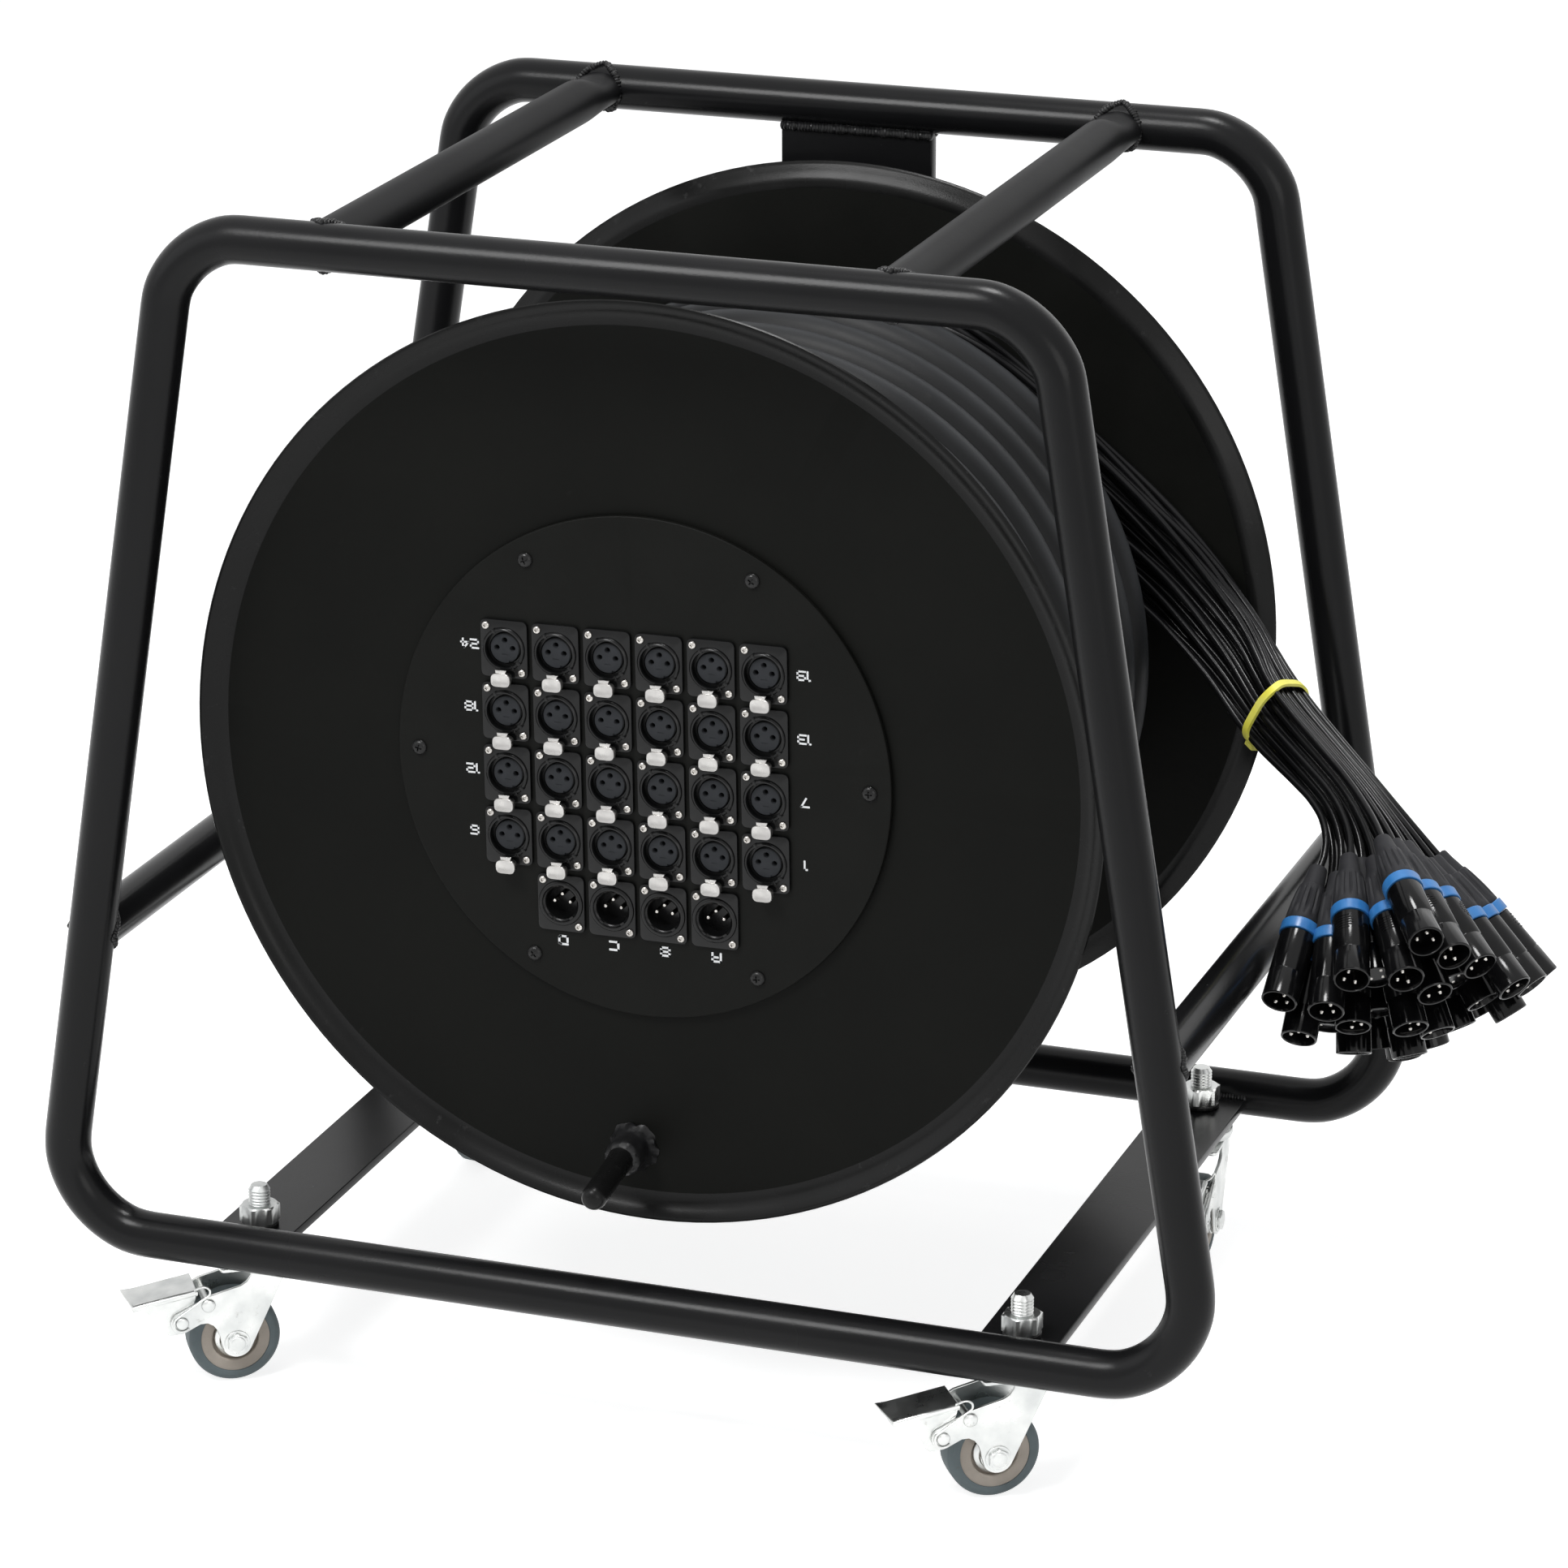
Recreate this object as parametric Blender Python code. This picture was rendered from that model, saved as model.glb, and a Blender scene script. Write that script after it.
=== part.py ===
"""Multicore cable drum: a wheeled tube frame, a drum that turns on a stub axle, and its wound cable."""

import math

import bmesh
import bpy
from mathutils import Matrix, Vector

MM = 0.001
GAP = 0.3 * MM

# Casters: swivel with trail, fifty millimetre wheel, brake pedal.
WHEEL_R = 25 * MM
TRAIL = 17 * MM
TYRE_HALF = 10 * MM
CORE_R = WHEEL_R - 7 * MM
HUB_BOSS_R = 8.5 * MM
HUB_HALF = TYRE_HALF + 2.6 * MM
BOLT_R = 4 * MM
FORK_IN = HUB_HALF + 0.6 * MM
FORK_SHEET = 2 * MM
RACE_R = 18.5 * MM
STUD_R = 5.9 * MM
NUT_FLATS = 19 * MM
NUT_HIGH = 10 * MM
SPRING_WASHER_R = 10.2 * MM
SPRING_WASHER_THICK = 2.4 * MM
THREAD_ABOVE = 11 * MM
PIVOT_U = -WHEEL_R - 4.6 * MM
PIVOT_Z = 14.4 * MM
PIVOT_R = 2.5 * MM
PEDAL_SHEET = 1.3 * MM
PIN_PROUD = 1.5 * MM
CASTERS = {
    "front_left": (-1, -1, 35.0),
    "front_right": (1, -1, 35.0),
    "rear_left": (-1, 1, 86.0),
    "rear_right": (1, 1, 93.0),
}

# Frame tubes: two upright loops joined by cross tubes. The floor is z = 0 and the front is -Y.
TUBE_R = 12.5 * MM
BOTTOM_RAIL_Z = 2 * WHEEL_R + 34.5 * MM
FRAME_HEIGHT = 555 * MM
TOP_HALF_WIDTH = 233 * MM
BOTTOM_HALF_WIDTH = 321 * MM
FRAME_HALF_DEPTH = 197 * MM
BEND_R = 50 * MM
CROSSBAR_X = 151 * MM
SIDE_TUBE_Z = BOTTOM_RAIL_Z + 170 * MM
TUBE_SIDES = 10
BEND_STEPS = 3

# Base bars, which carry the casters, and the plate that carries the axle.
BAR_X = 215 * MM
BAR_WIDTH = 43 * MM
BAR_THICK = 5 * MM
BAR_TOP_Z = BOTTOM_RAIL_Z + MM
STUD_Y = FRAME_HALF_DEPTH - TUBE_R - RACE_R + MM
SWIVEL_Z = BAR_TOP_Z - BAR_THICK - 5.5 * MM
CROWN_Z = SWIVEL_Z - 9 * MM
PLATE_WIDTH = 88 * MM
PLATE_THICK = 8 * MM
PLATE_FRONT_Y = FRAME_HALF_DEPTH - 7 * MM

# Drum: two dished flanges on a barrel.
AXIS_Z = BOTTOM_RAIL_Z + FRAME_HEIGHT / 2 + 0.6 * MM
SHEET = 2 * MM
FLANGE_R = 250 * MM
FLANGE_FLAT_R = FLANGE_R - 9.5 * MM
RIM_DEPTH = 6 * MM
FRONT_FACE_Y = 53 * MM - FRAME_HALF_DEPTH
FRONT_INNER_Y = FRONT_FACE_Y + SHEET
REAR_INNER_Y = PLATE_FRONT_Y - 22 * MM
PANEL_R = 136 * MM
PANEL_HOLE_R = PANEL_R - 23 * MM
BARREL_R = PANEL_R - 18 * MM
FLANGE_STEPS = 40
BARREL_STEPS = 32
ROUND_STEPS = 16

# Axle and bearings.
AXLE_R = 12.2 * MM
AXLE_COLLAR_R = 20 * MM
AXLE_THREAD_R = 9.8 * MM
AXLE_END_Y = PLATE_FRONT_Y + 29.15 * MM
AXLE_NUT_R = 17 * MM
AXLE_NUT_THICK = 13 * MM
WASHER_R = 19 * MM
WASHER_THICK = 3 * MM
BEARING_R = AXLE_R + 11.3 * MM
HUB_R = BEARING_R + SHEET
BEARING_WIDTH = 12 * MM
WEB_Y = FRONT_FACE_Y + 74 * MM
AXLE_FRONT_Y = WEB_Y - 18 * MM

# Connector panel.
PANEL_THICK = 3.2 * MM
PANEL_SCREW_R = PANEL_R - 11.7 * MM
PANEL_SCREWS = 6
PANEL_SCREW_HOLE = 2.2 * MM
PANEL_TURN = math.radians(0.64)
COLUMNS = 6
FEMALE_ROWS = 4
MALE_COLUMNS = (1, 2, 3, 4)
COLUMN_PITCH = 28.5 * MM
ROW_PITCH = 34.1 * MM
GRID_X = -3.1 * MM
GRID_Z = 7.9 * MM
PLATE_W = 26 * MM
PLATE_H = 31 * MM
SOCKET_PLATE = 1.8 * MM
SOCKET_R = 11.5 * MM
SOCKET_SIDES = 6
SOCKET_RING_PROUD = 1.4 * MM
SOCKET_BODY_DEPTH = 24 * MM
CUP_R = 8.6 * MM
CUP_DEPTH = 13 * MM
PIN_R = 1.2 * MM
PIN_CIRCLE_R = 4.4 * MM
PIN_ANGLES = (0, 90, 180)
EARTH_STRIP = 2.4 * MM
TAB_W = 11.4 * MM
TAB_H = 6.8 * MM
TAB_DROP = 15.2 * MM
TAB_PROUD = 6.5 * MM
TAB_TRAVEL = 1.5 * MM
TAB_BAR = 1.8 * MM

# Turning handle, welded near the front flange's rim.
HANDLE_CIRCLE_R = FLANGE_R - 38 * MM
HANDLE_ANGLE = math.radians(-92)
HANDLE_R = 6.75 * MM
BOSS_R = HANDLE_R + 3.25 * MM
BOSS_LENGTH = 20 * MM
HANDLE_REACH = 69 * MM
HANDLE_LEAN = math.radians(5)

# Multicore cable on the drum. The outer layer is wound turn by turn over a plain core.
CABLE_R = 13 * MM
SLEEVE_R = CABLE_R + 3.5 * MM
TAIL_SPACE = 2 * SLEEVE_R + 5 * MM
WINDING_R = FLANGE_R - 66 * MM
TURN_PITCH = 2 * CABLE_R + 0.5 * MM
WINDING_ROOM = REAR_INNER_Y - TAIL_SPACE - FRONT_INNER_Y - 2 * CABLE_R - 2 * GAP
TURNS = math.floor(4 * WINDING_ROOM / TURN_PITCH) / 4
WINDING_END_TURN = math.radians(215)
LOOP_POINTS = 20
GROMMET_Y = WEB_Y + 110 * MM

# Free end of the cable, in the space beside the rear flange, then its tails and plugs.
GAP_Y = REAR_INNER_Y - TAIL_SPACE / 2 - 0.5 * MM
STUB_R = WINDING_R - 26 * MM
STUB_START = math.radians(212)
SLEEVE_START = math.radians(150)
SLEEVE_END = math.radians(118)
TAIL_R = 2 * MM
# Rows of tails, each as its first place across the bundle, in steps, and its count.
TAIL_ROWS = ((-2.5, 6), (-2, 5), (-2.5, 6), (-2, 5), (-2.5, 6))
HALF_ROW = 2.5
HALF_STACK = (len(TAIL_ROWS) - 1) / 2
RETURN_TAILS = (2, 8, 12, 19)
TAIL_CIRCLE_R = WINDING_R - 30 * MM
TAIL_LEAVE = math.radians(50.1)
TAIL_STEP = 4.3 * MM
# The bundle round the drum: degrees, millimetres beyond the tails' circle, and its two steps.
ROUND_DRUM = ((116, 3, 3.9, 4.1), (104, 2.5, 4.1, 6), (88, 1.5, 4.3, 11), (69, 0, 4.3, 14))
TIE_POINT = Vector((270.6 * MM, GAP_Y - 48.5 * MM, SIDE_TUBE_Z + 91.5 * MM))
WAIST_POINT = Vector((330 * MM, GAP_Y - 93.2 * MM, SIDE_TUBE_Z + 63.9 * MM))
FAN_WAY = Vector((0.417, -0.530, -0.739)).normalized()
FAN_ROW_WAY = Vector((0.307, 0.847, -0.434))
RING_REACH = 86 * MM
RING_PITCH = 21.2 * MM
PLUG_R = 9.6 * MM
PLUG_RING_R = 10.4 * MM
PLUG_LENGTH = 86 * MM
PLUG_STAGGER = 3 * MM
BOOT_LENGTH = 38 * MM
RING_LENGTH = 6 * MM
TIE_WIDTH = 5 * MM
TIE_THICK = 1.6 * MM

# Local Z of a turned piece points along world Y.
ALONG_Y = Matrix.Rotation(math.radians(-90), 4, "X")
# A flat outline drawn in (x, z), extruded towards +Y.
UPRIGHT = Matrix(((1, 0, 0, 0), (0, 0, 1, 0), (0, 1, 0, 0), (0, 0, 0, 1)))


def clear_scene():
    for obj in list(bpy.data.objects):
        bpy.data.objects.remove(obj, do_unlink=True)


def make_material(name, colour, roughness, metallic=0.0):
    material = bpy.data.materials.new(name)
    material.use_nodes = True
    shader = material.node_tree.nodes["Principled BSDF"]
    shader.inputs["Base Color"].default_value = (*colour, 1.0)
    shader.inputs["Roughness"].default_value = roughness
    shader.inputs["Metallic"].default_value = metallic
    material.diffuse_color = (*colour, 1.0)
    return material


def make_empty(name, location=(0, 0, 0), turn=0.0, parent=None):
    empty = bpy.data.objects.new(name, None)
    empty.location = location
    empty.rotation_euler = (0, 0, turn)
    empty.parent = parent
    empty.empty_display_size = 0.03
    bpy.context.collection.objects.link(empty)
    return empty


def add_object(name, mesh, material, parent=None):
    obj = bpy.data.objects.new(name, mesh)
    obj.parent = parent
    mesh.materials.append(material)
    bpy.context.collection.objects.link(obj)
    return obj


def mesh_from(name, shape, sharp_angle=35):
    """A bmesh made into a mesh with its faces turned outwards."""
    bmesh.ops.recalc_face_normals(shape, faces=shape.faces)
    mesh = bpy.data.meshes.new(name)
    shape.to_mesh(mesh)
    shape.free()
    mesh.shade_smooth()
    mesh.set_sharp_from_angle(angle=math.radians(sharp_angle))
    return mesh


def add_loft(shape, rings, closed=False):
    """Joins rings of points, each with as many, into one closed skin."""
    loops = [[shape.verts.new(point) for point in ring] for ring in rings]
    count = len(loops[0])
    pairs = list(zip(loops, loops[1:]))
    if closed:
        pairs.append((loops[-1], loops[0]))
    for first, second in pairs:
        for i in range(count):
            j = (i + 1) % count
            shape.faces.new((first[i], first[j], second[j], second[i]))
    if not closed:
        shape.faces.new(loops[0][::-1])
        shape.faces.new(loops[-1])


def add_turned(shape, profile, steps, place=Matrix.Identity(4)):
    """Turns a closed outline of (radius, height) points about local Z. A point at radius 0 becomes a pole."""
    columns = []
    poles = {
        j: shape.verts.new(place @ Vector((0, 0, height)))
        for j, (radius, height) in enumerate(profile)
        if radius == 0
    }
    for i in range(steps):
        angle = 2 * math.pi * i / steps
        across = Vector((math.cos(angle), math.sin(angle), 0))
        columns.append([
            poles[j] if j in poles else shape.verts.new(place @ (across * radius + Vector((0, 0, height))))
            for j, (radius, height) in enumerate(profile)
        ])
    for i in range(steps):
        near = columns[i]
        far = columns[(i + 1) % steps]
        for j in range(len(profile)):
            k = (j + 1) % len(profile)
            corners = list(dict.fromkeys((near[j], near[k], far[k], far[j])))
            if len(corners) > 2:
                shape.faces.new(corners)


def add_prism(shape, outline, place, depth):
    """A flat outline, given in local XY, extruded along local Z by depth."""
    add_loft(shape, [[place @ Vector((x, y, z)) for x, y in outline] for z in (0, depth)])


def add_box(shape, low, high):
    x0, y0, z0 = low
    x1, y1, z1 = high
    add_loft(shape, [
        [(x0, y0, z), (x1, y0, z), (x1, y1, z), (x0, y1, z)] for z in (z0, z1)
    ])


def circle(radius, count, centre=(0, 0), start=0.0):
    return [
        (centre[0] + radius * math.cos(start + 2 * math.pi * i / count),
         centre[1] + radius * math.sin(start + 2 * math.pi * i / count))
        for i in range(count)
    ]


def cut_with(body, name, fillers, parent):
    """Takes closed shapes that are clear of each other out of a body, as one hidden cutter."""
    shape = bmesh.new()
    for filler in fillers:
        filler(shape)
    cutter = add_object(name, mesh_from(name, shape), body.data.materials[0], parent)
    cutter.hide_render = True
    cutter.display_type = "WIRE"
    cut = body.modifiers.new(name, "BOOLEAN")
    cut.operation = "DIFFERENCE"
    cut.solver = "EXACT"
    cut.object = cutter


def plate_object(name, outline, holes, place, depth, material, parent):
    """A flat plate with holes right through it."""
    shape = bmesh.new()
    add_prism(shape, outline, place, depth)
    body = add_object(name, mesh_from(name, shape), material, parent)
    past = place @ Matrix.Translation((0, 0, -MM))
    cut_with(body, f"{name}_holes", [
        lambda shape, hole=hole: add_prism(shape, hole, past, depth + 2 * MM) for hole in holes
    ], parent)
    return body


def turned_object(name, profile, steps, material, parent, place=Matrix.Identity(4)):
    shape = bmesh.new()
    add_turned(shape, profile, steps, place)
    return add_object(name, mesh_from(name, shape), material, parent)


def fused_object(name, fillers, material, parent):
    """One body from overlapping closed shapes: a base shape, and the others united with it."""
    shells = []
    for filler in fillers:
        shape = bmesh.new()
        filler(shape)
        shells.append(shape)
    body = add_object(name, mesh_from(name, shells[0]), material, parent)
    for number, shape in enumerate(shells[1:]):
        unite_with(body, f"{name}_union_{number}", shape, parent)
    return body


def unite_with(body, name, shape, parent):
    helper = add_object(name, mesh_from(name, shape), body.data.materials[0], parent)
    helper.hide_render = True
    helper.display_type = "WIRE"
    union = body.modifiers.new(name, "BOOLEAN")
    union.operation = "UNION"
    union.solver = "EXACT"
    union.use_self = True
    union.object = helper


def at_y(y, base=ALONG_Y):
    return Matrix.Translation((0, y, 0)) @ base


def tube_object(name, points, radius, material, parent=None, sides=12, closed=False):
    """A round bar along points, as a curve with a bevel and filled caps."""
    curve = bpy.data.curves.new(name, "CURVE")
    curve.dimensions = "3D"
    curve.bevel_depth = radius
    curve.bevel_resolution = (sides - 4) // 2
    curve.use_fill_caps = True
    spline = curve.splines.new("POLY")
    spline.points.add(len(points) - 1)
    for spline_point, point in zip(spline.points, points):
        spline_point.co = (*point, 1.0)
    spline.use_cyclic_u = closed
    spline.use_smooth = True
    return add_object(name, curve, material, parent)


def leg_x(z):
    """Half width between the legs' centrelines at a height."""
    share = (z - BOTTOM_RAIL_Z) / FRAME_HEIGHT
    return BOTTOM_HALF_WIDTH + (TOP_HALF_WIDTH - BOTTOM_HALF_WIDTH) * share


def rounded_corner(before, corner, after, radius):
    """Points round a corner of a path, on an arc that touches both sides."""
    to_before = (before - corner).normalized()
    to_after = (after - corner).normalized()
    half = to_before.angle(to_after) / 2
    bisector = (to_before + to_after).normalized()
    centre = corner + bisector * (radius / math.sin(half))
    start = corner + to_before * (radius / math.tan(half))
    end = corner + to_after * (radius / math.tan(half))
    sweep = math.pi - 2 * half
    first = start - centre
    normal = first.cross(end - centre).normalized()
    return [
        centre + Matrix.Rotation(sweep * i / BEND_STEPS, 3, normal) @ first
        for i in range(BEND_STEPS + 1)
    ]


def frame_loop(y):
    top = BOTTOM_RAIL_Z + FRAME_HEIGHT
    corners = [
        Vector((BOTTOM_HALF_WIDTH, y, BOTTOM_RAIL_Z)),
        Vector((TOP_HALF_WIDTH, y, top)),
        Vector((-TOP_HALF_WIDTH, y, top)),
        Vector((-BOTTOM_HALF_WIDTH, y, BOTTOM_RAIL_Z)),
    ]
    points = []
    for i, corner in enumerate(corners):
        points += rounded_corner(corners[i - 1], corner, corners[(i + 1) % 4], BEND_R)
    return points


def make_frame(paint, root):
    reach = FRAME_HALF_DEPTH - TUBE_R - GAP
    top_z = BOTTOM_RAIL_Z + FRAME_HEIGHT
    tube_object("front_frame", frame_loop(-FRAME_HALF_DEPTH), TUBE_R, paint, root, TUBE_SIDES, closed=True)
    tube_object("rear_frame", frame_loop(FRAME_HALF_DEPTH), TUBE_R, paint, root, TUBE_SIDES, closed=True)
    for side, word in ((-1, "left"), (1, "right")):
        for name, x, z in (
            (f"top_crossbar_{word}", CROSSBAR_X, top_z),
            (f"side_tube_{word}", leg_x(SIDE_TUBE_Z), SIDE_TUBE_Z),
        ):
            ends = [Vector((side * x, -reach, z)), Vector((side * x, reach, z))]
            tube_object(name, ends, TUBE_R, paint, root, TUBE_SIDES)
        make_base_bar(f"base_bar_{word}", side * BAR_X, reach, paint, root)
    make_axle_plate(paint, root)


def make_base_bar(name, x, reach, paint, root):
    outline = [
        (x - BAR_WIDTH / 2, -reach), (x + BAR_WIDTH / 2, -reach),
        (x + BAR_WIDTH / 2, reach), (x - BAR_WIDTH / 2, reach),
    ]
    holes = [circle(STUD_R + 3 * GAP, 12, (x, y)) for y in (-STUD_Y, STUD_Y)]
    place = Matrix.Translation((0, 0, BAR_TOP_Z - BAR_THICK))
    plate_object(name, outline, holes, place, BAR_THICK, paint, root)


def make_axle_plate(paint, root):
    low = BOTTOM_RAIL_Z + TUBE_R + GAP
    high = BOTTOM_RAIL_Z + FRAME_HEIGHT - TUBE_R - GAP
    half = PLATE_WIDTH / 2
    outline = [(-half, low), (half, low), (half, high), (-half, high)]
    hole = circle(AXLE_THREAD_R + 2 * GAP, ROUND_STEPS, (0, AXIS_Z))
    plate_object("axle_plate", outline, [hole], at_y(PLATE_FRONT_Y, UPRIGHT), PLATE_THICK, paint, root)


def make_axle(steel, root):
    """Stub axle with a collar against the plate, its washer and nut behind, and the drum's keeper ring."""
    place = Matrix.Translation((0, 0, AXIS_Z)) @ ALONG_Y
    collar_front = REAR_INNER_Y + SHEET + 1.5 * MM
    collar_back = PLATE_FRONT_Y - GAP
    plate_back = PLATE_FRONT_Y + PLATE_THICK
    turned_object("stub_axle", [
        (0, AXLE_FRONT_Y), (AXLE_R, AXLE_FRONT_Y), (AXLE_R, collar_front),
        (AXLE_COLLAR_R, collar_front), (AXLE_COLLAR_R, collar_back),
        (AXLE_THREAD_R, collar_back), (AXLE_THREAD_R, AXLE_END_Y), (0, AXLE_END_Y),
    ], ROUND_STEPS, steel, root, place)
    washer_front = plate_back + GAP
    nut_front = washer_front + WASHER_THICK
    nut_back = nut_front + AXLE_NUT_THICK
    bore = AXLE_THREAD_R + 2 * GAP
    nut = fused_object("axle_nut", [
        lambda shape: add_turned(shape, [
            (0, washer_front), (WASHER_R, washer_front), (WASHER_R, nut_front), (0, nut_front),
        ], ROUND_STEPS, place),
        lambda shape: add_turned(shape, [
            (0, nut_front - GAP), (AXLE_NUT_R, nut_front - GAP), (AXLE_NUT_R, nut_back), (0, nut_back),
        ], 6, place),
    ], steel, root)
    cut_with(nut, "axle_nut_bore", [
        lambda shape: add_turned(shape, [
            (0, washer_front - MM), (bore, washer_front - MM), (bore, nut_back + MM), (0, nut_back + MM),
        ], ROUND_STEPS, place),
    ], root)
    ring_front = AXLE_FRONT_Y + 3 * MM
    inner = AXLE_R + GAP
    turned_object("axle_keeper_ring", [
        (inner, ring_front), (BEARING_R - 3 * MM, ring_front),
        (BEARING_R - 3 * MM, ring_front + 6 * MM), (inner, ring_front + 6 * MM),
    ], ROUND_STEPS, steel, root, place)


def flange_profile(hole_r, inner_y, outwards):
    """Section of a dished flange. Outwards is -1 at the front and 1 at the rear."""
    outer_y = inner_y + outwards * SHEET
    rim_y = outer_y + outwards * RIM_DEPTH
    return [
        (hole_r, inner_y), (FLANGE_FLAT_R + 0.8 * MM, inner_y), (FLANGE_R, rim_y - outwards * 1.4 * MM),
        (FLANGE_R - 1.4 * MM, rim_y), (FLANGE_FLAT_R, outer_y), (hole_r, outer_y),
    ]


def make_drum(paint, steel, rubber, spin):
    for name, hole_r, inner_y, outwards in (
        ("front_flange", PANEL_HOLE_R, FRONT_INNER_Y, -1),
        ("rear_flange", HUB_R + GAP, REAR_INNER_Y, 1),
    ):
        turned_object(name, flange_profile(hole_r, inner_y, outwards), FLANGE_STEPS, paint, spin, ALONG_Y)
    barrel_front = FRONT_INNER_Y + GAP
    barrel_back = REAR_INNER_Y - GAP
    shape = bmesh.new()
    add_turned(shape, [
        (BARREL_R - SHEET, barrel_front), (BARREL_R, barrel_front),
        (BARREL_R, barrel_back), (BARREL_R - SHEET, barrel_back),
    ], BARREL_STEPS, ALONG_Y)
    barrel = add_object("drum_barrel", mesh_from("drum_barrel", shape), paint, spin)
    grommet_r = CABLE_R + 4 * MM
    upward = Matrix.Translation((0, GROMMET_Y, 0))
    low = BARREL_R - 16 * MM
    high = BARREL_R + 7 * MM
    hole = [(0, low), (grommet_r, low), (grommet_r, high), (0, high)]
    cut_with(barrel, "grommet_hole", [lambda shape: add_turned(shape, hole, 16, upward)], spin)
    ring = grommet_r - 2 * GAP
    lip = BARREL_R * math.cos(math.pi / BARREL_STEPS)
    lip -= lip - math.sqrt(lip * lip - ring * ring) + GAP
    turned_object("cable_grommet", [
        (CABLE_R + 2 * GAP, low), (ring, low), (ring, lip), (CABLE_R + 2 * GAP, lip),
    ], 16, rubber, spin, upward)
    inner_path = [
        (0, GROMMET_Y, lip), (0, GROMMET_Y, low - 2 * MM), (0, GROMMET_Y - 5 * MM, 86 * MM),
        (0, GROMMET_Y - 16 * MM, 72 * MM), (0, GROMMET_Y - 36 * MM, 61 * MM),
        (0, GROMMET_Y - 62 * MM, 56 * MM),
        (0, WEB_Y + 22 * MM, 55 * MM), (0, WEB_Y - 12 * MM, 55 * MM),
    ]
    tube_object("inner_cable", [Vector(point) for point in inner_path], CABLE_R, rubber, spin, 10)
    make_hub(paint, steel, spin)


def make_hub(paint, steel, spin):
    tube_front = WEB_Y - 6 * MM
    tube_back = REAR_INNER_Y + SHEET
    seat = BEARING_R + GAP
    turned_object("hub_tube", [
        (seat, tube_front), (HUB_R, tube_front), (HUB_R, tube_back), (seat, tube_back),
    ], ROUND_STEPS, paint, spin, ALONG_Y)
    for name, front in (("bearing_front", tube_front + MM), ("bearing_rear", tube_back - MM - BEARING_WIDTH)):
        bore = AXLE_R + GAP
        turned_object(name, [
            (bore, front), (BEARING_R, front),
            (BEARING_R, front + BEARING_WIDTH), (bore, front + BEARING_WIDTH),
        ], ROUND_STEPS, steel, spin, ALONG_Y)
    cable_pass = circle(CABLE_R + 3 * MM, 12, (0, 55 * MM))
    bore = circle(HUB_R + 2 * GAP, ROUND_STEPS)
    rim = (BARREL_R - SHEET) * math.cos(math.pi / BARREL_STEPS) - GAP
    plate_object("hub_web", circle(rim, 24), [bore, cable_pass], at_y(WEB_Y, UPRIGHT), SHEET, paint, spin)


def panel_point(x, z):
    """A point of the panel's own grid, turned with the panel."""
    cosine = math.cos(PANEL_TURN)
    sine = math.sin(PANEL_TURN)
    return x * cosine - z * sine, x * sine + z * cosine


def socket_centre(column, row):
    x = (column - (COLUMNS - 1) / 2) * COLUMN_PITCH + GRID_X
    z = GRID_Z + ((FEMALE_ROWS - 1) / 2 - row) * ROW_PITCH
    return x, z


def turn_loop(points):
    return [panel_point(x, z) for x, z in points]


def box_outline(width, height, centre):
    x, z = centre
    w = width / 2
    h = height / 2
    return [(x - w, z - h), (x + w, z - h), (x + w, z + h), (x - w, z + h)]


def tab_centre(column, row):
    x, z = socket_centre(column, row)
    return x, z - TAB_DROP


def make_panel(paint, screws, spin):
    back_y = FRONT_FACE_Y - GAP
    front_y = back_y - PANEL_THICK
    places = [(column, row) for row in range(FEMALE_ROWS) for column in range(COLUMNS)]
    places += [(column, FEMALE_ROWS) for column in MALE_COLUMNS]
    hole_r = (SOCKET_R + GAP) / math.cos(math.pi / 6)
    holes = [circle(hole_r, 6, socket_centre(*place)) for place in places]
    for i in range(PANEL_SCREWS):
        holes.append(circle(PANEL_SCREW_HOLE, 6, screw_centre(i)))
    turned_holes = [turn_loop(hole) for hole in holes]
    place = at_y(front_y, UPRIGHT)
    plate_object("connector_panel", circle(PANEL_R, 48), turned_holes, place, PANEL_THICK, paint, spin)
    make_panel_screws(front_y, screws, spin)
    return front_y


def screw_centre(number):
    angle = 2 * math.pi * number / PANEL_SCREWS
    return PANEL_SCREW_R * math.cos(angle), PANEL_SCREW_R * math.sin(angle)


def make_panel_screws(panel_front, metal, spin):
    """The panel's screws, whose nuts are one ring behind the flange."""
    nut_front = FRONT_INNER_Y + GAP
    nut_back = nut_front + 2 * MM
    head_back = panel_front - GAP

    def nut_ring(shape):
        inside = PANEL_SCREW_R - 3.5 * MM
        outside = PANEL_SCREW_R + 3.5 * MM
        add_turned(shape, [
            (inside, nut_front), (outside, nut_front), (outside, nut_back), (inside, nut_back),
        ], 16, ALONG_Y)

    def screw(number):
        x, z = panel_point(*screw_centre(number))
        place = Matrix.Translation((x, 0, z)) @ ALONG_Y
        return lambda shape: add_turned(shape, [
            (0, head_back - 2.2 * MM), (2.4 * MM, head_back - 2.0 * MM), (3.6 * MM, head_back),
            (1.5 * MM, head_back), (1.5 * MM, nut_back - 0.5 * MM), (0, nut_back - 0.5 * MM),
        ], 6, place)

    fused_object("panel_screws", [nut_ring] + [screw(i) for i in range(PANEL_SCREWS)], metal, spin)


def cut_flange_holes(spin):
    """Clearance holes in the front flange for the panel's screws."""
    place = at_y(FRONT_FACE_Y - MM, UPRIGHT)
    loops = [turn_loop(circle(PANEL_SCREW_HOLE, 6, screw_centre(i))) for i in range(PANEL_SCREWS)]
    cut_with(bpy.data.objects["front_flange"], "flange_screw_holes", [
        lambda shape, loop=loop: add_prism(shape, loop, place, SHEET + 2 * MM) for loop in loops
    ], spin)


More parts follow.
